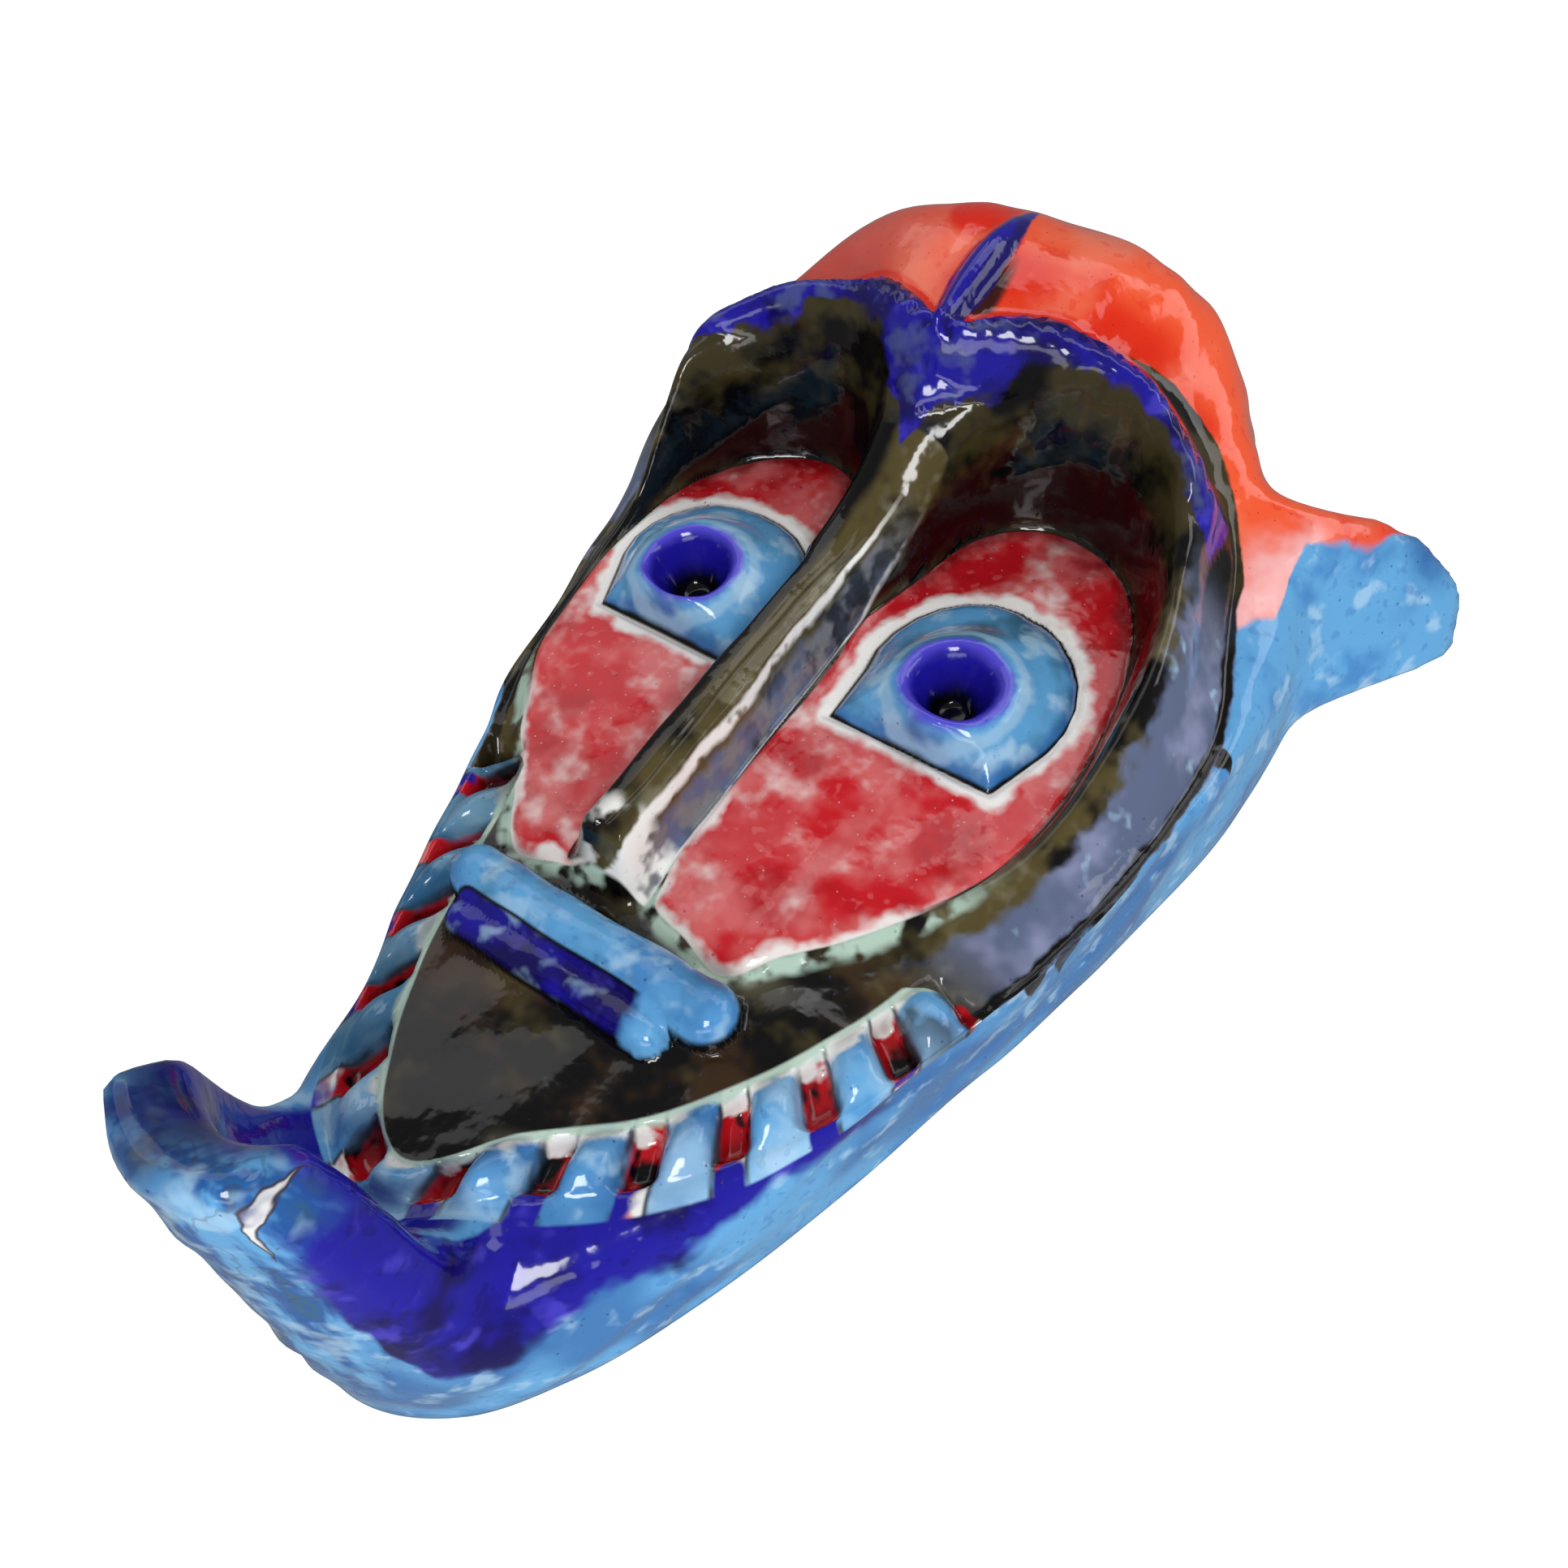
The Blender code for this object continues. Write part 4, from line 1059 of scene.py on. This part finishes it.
def eye_glaze(g, glaze, colour):
    """Light blue lids with deeper rings, and a pupil that runs from violet to cobalt to black."""
    inside, off = g.place("eye"), g.place("pupil")
    wobble = g.wobble(6)
    lid = g.coats(
        glaze.light_blue,
        (g.patch, 0.45, 0.66, 0.8, TEAL),
        (g.fleck_b, 0.5, 0.64, 0.7, PALE_BLUE),
        (g.fall(inside + wobble, 1.2, 5.0, 0.75), DEEP_BLUE),
        (g.fall(abs(off + wobble * 0.5 - PUPIL_RADIUS - 4), 0.6, 2.0, 0.5), PALE_BLUE),
        (g.fall(inside + wobble * 0.2, 0.6, 1.5), BLACK),
        (g.fall(off + wobble * 0.5, PUPIL_RADIUS, PUPIL_RADIUS + 2.5), VIOLET),
        (g.fall(off + wobble * 0.4, PUPIL_RADIUS - 3.0, PUPIL_RADIUS), glaze.cobalt),
        (g.fall(off + wobble * 0.4, 5.5, 8.5), BLACK))
    return g.mix(g.edge(inside, -0.4, 0.4), colour, lid)


def mouth_glaze(g, glaze, colour, sky, ink):
    """Pale teeth over a deep red groove with white ends to its gaps, and the two mouth rolls; the teeth carry
    painted highlights in white on their tops and painted shade in teal on the far side.
    """
    x, groove, tooth, over = g.place("form_x"), g.place("groove"), g.place("tooth"), g.place("over")
    wobble = g.wobble(6)
    foot = g.mix(g.edge(g.patch, 0.46, 0.54), ink, g.mix(g.edge(g.fleck, 0.44, 0.56), ROSE, WHITE))
    gap = g.coats(
        glaze.red,
        (g.fleck_b, 0.5, 0.6, BLACK),
        (over + wobble * 0.25, 0.58, 0.76, WHITE),
        (wobble * 0.15 - over, 0.85, 1.0, foot))
    enamel = g.coats(
        sky,
        (g.patch_b, 0.42, 0.6, 0.5, PALE_BLUE),
        # painted highlights: white on the teeth's tops, towards the snout
        (g.edge(over + wobble * 0.2, 0.5, 0.8) * g.edge(g.fleck_b, 0.46, 0.56), WHITE),
        # painted shade: teal over the teeth on the far (-X) side
        (g.fall(x, -30, -12, 0.55), TEAL),
        (g.fall(tooth + wobble * 0.25, 0.3, 1.5) * g.edge(g.patch, 0.36, 0.5, 0.9), SOOT))
    row = g.coats(
        gap,
        (tooth + wobble * 0.2, -0.6, 0.4, enamel),
        (g.fall(groove + wobble * 0.8, 0.0, 1.6, 0.9) * g.edge(over, 0, 0.2), GREEN_WHITE),
        (g.edge(g.place("form_y"), -82, -66, 0.75) * g.edge(g.patch_b, 0.46, 0.56), BLACK))
    colour = g.mix(g.edge(groove, -2.0, -1.0), colour, row)
    for name, base, deep in (("roll", sky, TEAL), ("bar", ink, NAVY)):
        clay = g.coats(
            base,
            (g.patch_b, 0.5, 0.68, 0.6, deep),
            (g.fleck_b, 0.56, 0.7, 0.5, PALE_BLUE),
            (g.fall(g.place(name), 0.2, 1.2), BLACK))
        if name == "bar":
            clay = g.mix(g.edge(x + wobble, 23, 26), clay, sky)
        colour = g.mix(g.edge(g.place(name), -0.5, 0.3), colour, clay)
    return colour


def brow_glaze(g, colour, ink):
    """Cobalt ropes and spike, with darker cuts, painted highlights of slate on the ropes' lower half, and the
    red line above them.
    """
    x, past = g.place("form_x"), g.place("past_rope")
    wobble = g.wobble(5)
    line = g.fall(abs(past - ROPE_HALF - 1.5), 0.8, 2.4) * g.fall(abs(x), 70, 84)
    rope = g.coats(
        ink,
        (g.place("cut"), 0.25, 0.7, 0.85, NAVY),
        # painted highlights: slate flecks on the ropes' lower half
        (g.edge(g.fleck_b, 0.54, 0.68) * g.fall(past, 0, 4, 0.5), SLATE))
    leaf = g.mix(g.edge(x + wobble, 0.5, 2.5, 0.8), ink, NAVY)
    return g.coats(
        colour,
        (line * g.edge(g.cloud, 0.3, 0.45, 0.9), SCARLET),
        (g.place("rope") + wobble, -0.5, 0.5, rope),
        (g.place("spike") + wobble * 0.5, -0.8, 0.2, leaf))


def fired(tree, colour, rough, index, bump):
    """One surface of clay or glaze, by its colour, roughness, refractive index and bumps."""
    return add_node(tree, "ShaderNodeBsdfPrincipled", {},
                    {"Base Color": colour, "Roughness": rough, "IOR": index, "Normal": bump})


def glazed_clay(glaze):
    """Material of the whole shell: glaze over glaze, with pits and ripples, and a bare hollow."""
    material = bpy.data.materials.new("glazed_clay")
    material.use_nodes = True
    tree = material.node_tree
    tree.nodes.clear()
    g = Glazes(tree)
    sky, ink = sky_glaze(g, glaze), ink_glaze(g, glaze)
    wall = wall_drips(g, chin_glaze(g, glaze, wall_glaze(g, glaze, sky, ink), ink))
    face = panel_glaze(g, glaze, land_glaze(g))
    face = eye_glaze(g, glaze, nose_glaze(g, face))
    pits = (g.pits(4.2, 0.42) * g.edge(g.cloud, 0.42, 0.56)) | (g.small_pits * 0.6)
    rough = 0.07 + g.patch * 0.08 + pits * 0.3
    ripple = g.patch * 0.5 + g.fleck * 0.2 + g.grain * 0.05
    bump = add_node(tree, "ShaderNodeBump", {},
                    {"Height": ripple, "Distance": glaze.ripple * MM, "Strength": 1.0})
    shaders = []
    for colour in (wall, face):
        colour = mouth_glaze(g, glaze, brow_glaze(g, colour, ink), sky, ink)
        shaders.append(fired(tree, g.mix(pits * 0.6, colour, NAVY), rough, GLAZE_IOR, bump))
    bare = fired(tree, g.mix(g.edge(g.cloud, 0.4, 0.7), CLAY, STONE), CLAY_ROUGHNESS, CLAY_IOR, bump)
    glazed = add_node(tree, "ShaderNodeMixShader", {}, {0: face_share(g), 1: shaders[0], 2: shaders[1]})
    hollow = g.edge(g.place("hollow"), 0.4, 0.6)
    clay = add_node(tree, "ShaderNodeMixShader", {}, {0: hollow, 1: glazed, 2: bare})
    out = tree.nodes.new("ShaderNodeOutputMaterial")
    tree.links.new(clay.socket, out.inputs["Surface"])
    return material


def look_from(place, right, up, forward):
    """Camera matrix from its place and its three directions."""
    turn = Matrix((right, up, tuple(-value for value in forward))).transposed()
    return Matrix.Translation(place) @ turn.to_4x4()


def softbox(name, azimuth, elevation, distance, wide, high, radiance, aim):
    """A rectangular lamp of a size and brightness, at an azimuth from +X and an elevation."""
    lamp = bpy.data.lights.new(name, "AREA")
    lamp.shape = "RECTANGLE"
    lamp.size = wide
    lamp.size_y = high
    lamp.energy = radiance * math.pi * wide * high
    place = aim + distance * Vector((math.cos(azimuth) * math.cos(elevation),
                                     math.sin(azimuth) * math.cos(elevation), math.sin(elevation)))
    holder = bpy.data.objects.new(name, lamp)
    holder.location = place
    holder.rotation_euler = (aim - place).to_track_quat("-Z", "Y").to_euler()
    bpy.context.scene.collection.objects.link(holder)


class MaskForm(bpy.types.PropertyGroup):
    """How finely the shell is worked out."""

    rays: bpy.props.IntProperty(
        name="Rays", description="Points round each ring", default=520, min=120)
    face_rings: bpy.props.IntProperty(
        name="Face rings", description="Rings over the face", default=116, min=40)
    wall_rings: bpy.props.IntProperty(
        name="Wall rings", description="Rings down the wall", default=58, min=20)
    hollow_rings: bpy.props.IntProperty(
        name="Hollow rings", description="Rings in the back", default=13, min=6)


class MaskGlaze(bpy.types.PropertyGroup):
    """The main glaze colours, as linear light."""

    light_blue: bpy.props.FloatVectorProperty(
        name="Light blue", description="Wall, lids and teeth", subtype="COLOR", default=linear(98, 166, 218))
    cobalt: bpy.props.FloatVectorProperty(
        name="Cobalt", description="Ropes, spike and jaw band", subtype="COLOR", default=linear(30, 24, 152))
    orange: bpy.props.FloatVectorProperty(
        name="Orange", description="Crown", subtype="COLOR", default=linear(246, 92, 52))
    red: bpy.props.FloatVectorProperty(
        name="Red", description="Cheek panels and mouth", subtype="COLOR", default=linear(200, 22, 34))
    ripple: bpy.props.FloatProperty(
        name="Ripple", description="Depth of the glaze's ripples in millimetres", default=1.6, min=0.0)


class MaskStage(bpy.types.PropertyGroup):
    """Floor, light and lens."""

    lens: bpy.props.FloatProperty(name="Lens", description="Focal length in millimetres", default=27.95)
    floor: bpy.props.FloatProperty(
        name="Floor", description="Side of the floor", default=6.0, subtype="DISTANCE")
    sky: bpy.props.FloatProperty(name="Sky", description="Brightness of the plain surroundings", default=0.2)


class MASK_OT_shell(bpy.types.Operator):
    """Make the glazed shell and put it in the place of the plain clay solid."""

    bl_idname = "mask.shell"
    bl_label = "Glazed Shell"

    def execute(self, context):
        shell, centre = make_shell(context.scene.mask_form)
        shell.data.materials.append(glazed_clay(context.scene.mask_glaze))
        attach(shell, "root")
        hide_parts("mask")
        context.scene["mask_centre"] = centre.tolist()
        return {"FINISHED"}


class MASK_OT_stage(bpy.types.Operator):
    """Make the floor, the soft light and the camera."""

    bl_idname = "mask.stage"
    bl_label = "Stage"

    def execute(self, context):
        scene = context.scene
        stage = scene.mask_stage
        centre = scene["mask_centre"]
        half = stage.floor / 2
        mesh = bpy.data.meshes.new("floor")
        corners = [(-half, -half, 0), (half, -half, 0), (half, half, 0), (-half, half, 0)]
        mesh.from_pydata(corners, [], [(0, 1, 2, 3)])
        floor = bpy.data.objects.new("floor", mesh)
        scene.collection.objects.link(floor)
        paint = bpy.data.materials.new("pale_floor")
        paint.use_nodes = True
        shader = paint.node_tree.nodes["Principled BSDF"]
        shader.inputs["Base Color"].default_value = (FLOOR_GREY, FLOOR_GREY, FLOOR_GREY, 1.0)
        shader.inputs["Roughness"].default_value = 0.9
        shader.inputs["Emission Color"].default_value = (1.0, 1.0, 1.0, 1.0)
        shader.inputs["Emission Strength"].default_value = FLOOR_GLOW
        mesh.materials.append(paint)
        floor.visible_glossy = False
        world = bpy.data.worlds.new("plain_surroundings")
        world.use_nodes = True
        world.node_tree.nodes["Background"].inputs["Color"].default_value = (1.0, 1.0, 1.0, 1.0)
        world.node_tree.nodes["Background"].inputs["Strength"].default_value = stage.sky
        scene.world = world
        aim = Vector((0.0, 0.0, AIM_HEIGHT))
        for name, azimuth, elevation, distance, wide, high, radiance in SOFTBOXES:
            softbox(name, math.radians(azimuth), math.radians(elevation), distance, wide, high, radiance, aim)
        lens = bpy.data.cameras.new("camera")
        lens.lens = stage.lens
        lens.clip_start = 0.01
        camera = bpy.data.objects.new("camera", lens)
        place = Vector((CAMERA_PLACE[0] - centre[0], CAMERA_PLACE[1] - centre[1], CAMERA_PLACE[2])) * MM
        camera.matrix_world = look_from(place, CAMERA_RIGHT, CAMERA_UP, CAMERA_FORWARD)
        scene.collection.objects.link(camera)
        scene.camera = camera
        scene.view_settings.view_transform = "Standard"
        return {"FINISHED"}


class MASK_PT_panel(bpy.types.Panel):
    """Lists the mask's sizes, colours and steps in the sidebar."""

    bl_idname = "MASK_PT_panel"
    bl_label = "Glazed Wall Mask"
    bl_space_type = "VIEW_3D"
    bl_region_type = "UI"
    bl_category = "Mask"

    def draw(self, context):
        for group in (context.scene.mask_form, context.scene.mask_glaze, context.scene.mask_stage):
            for name in group.__annotations__:
                self.layout.prop(group, name)
        self.layout.operator("mask.shell")
        self.layout.operator("mask.stage")


CLASSES = (MaskForm, MaskGlaze, MaskStage, MASK_OT_shell, MASK_OT_stage, MASK_PT_panel)


def register():
    for one in CLASSES:
        bpy.utils.register_class(one)
    bpy.types.Scene.mask_form = bpy.props.PointerProperty(type=MaskForm)
    bpy.types.Scene.mask_glaze = bpy.props.PointerProperty(type=MaskGlaze)
    bpy.types.Scene.mask_stage = bpy.props.PointerProperty(type=MaskStage)


def unregister():
    del bpy.types.Scene.mask_form
    del bpy.types.Scene.mask_glaze
    del bpy.types.Scene.mask_stage
    for one in reversed(CLASSES):
        bpy.utils.unregister_class(one)


def main():
    register()
    bpy.ops.mask.shell()
    bpy.ops.mask.stage()
    bpy.context.view_layer.update()


if __name__ == "__main__":
    main()
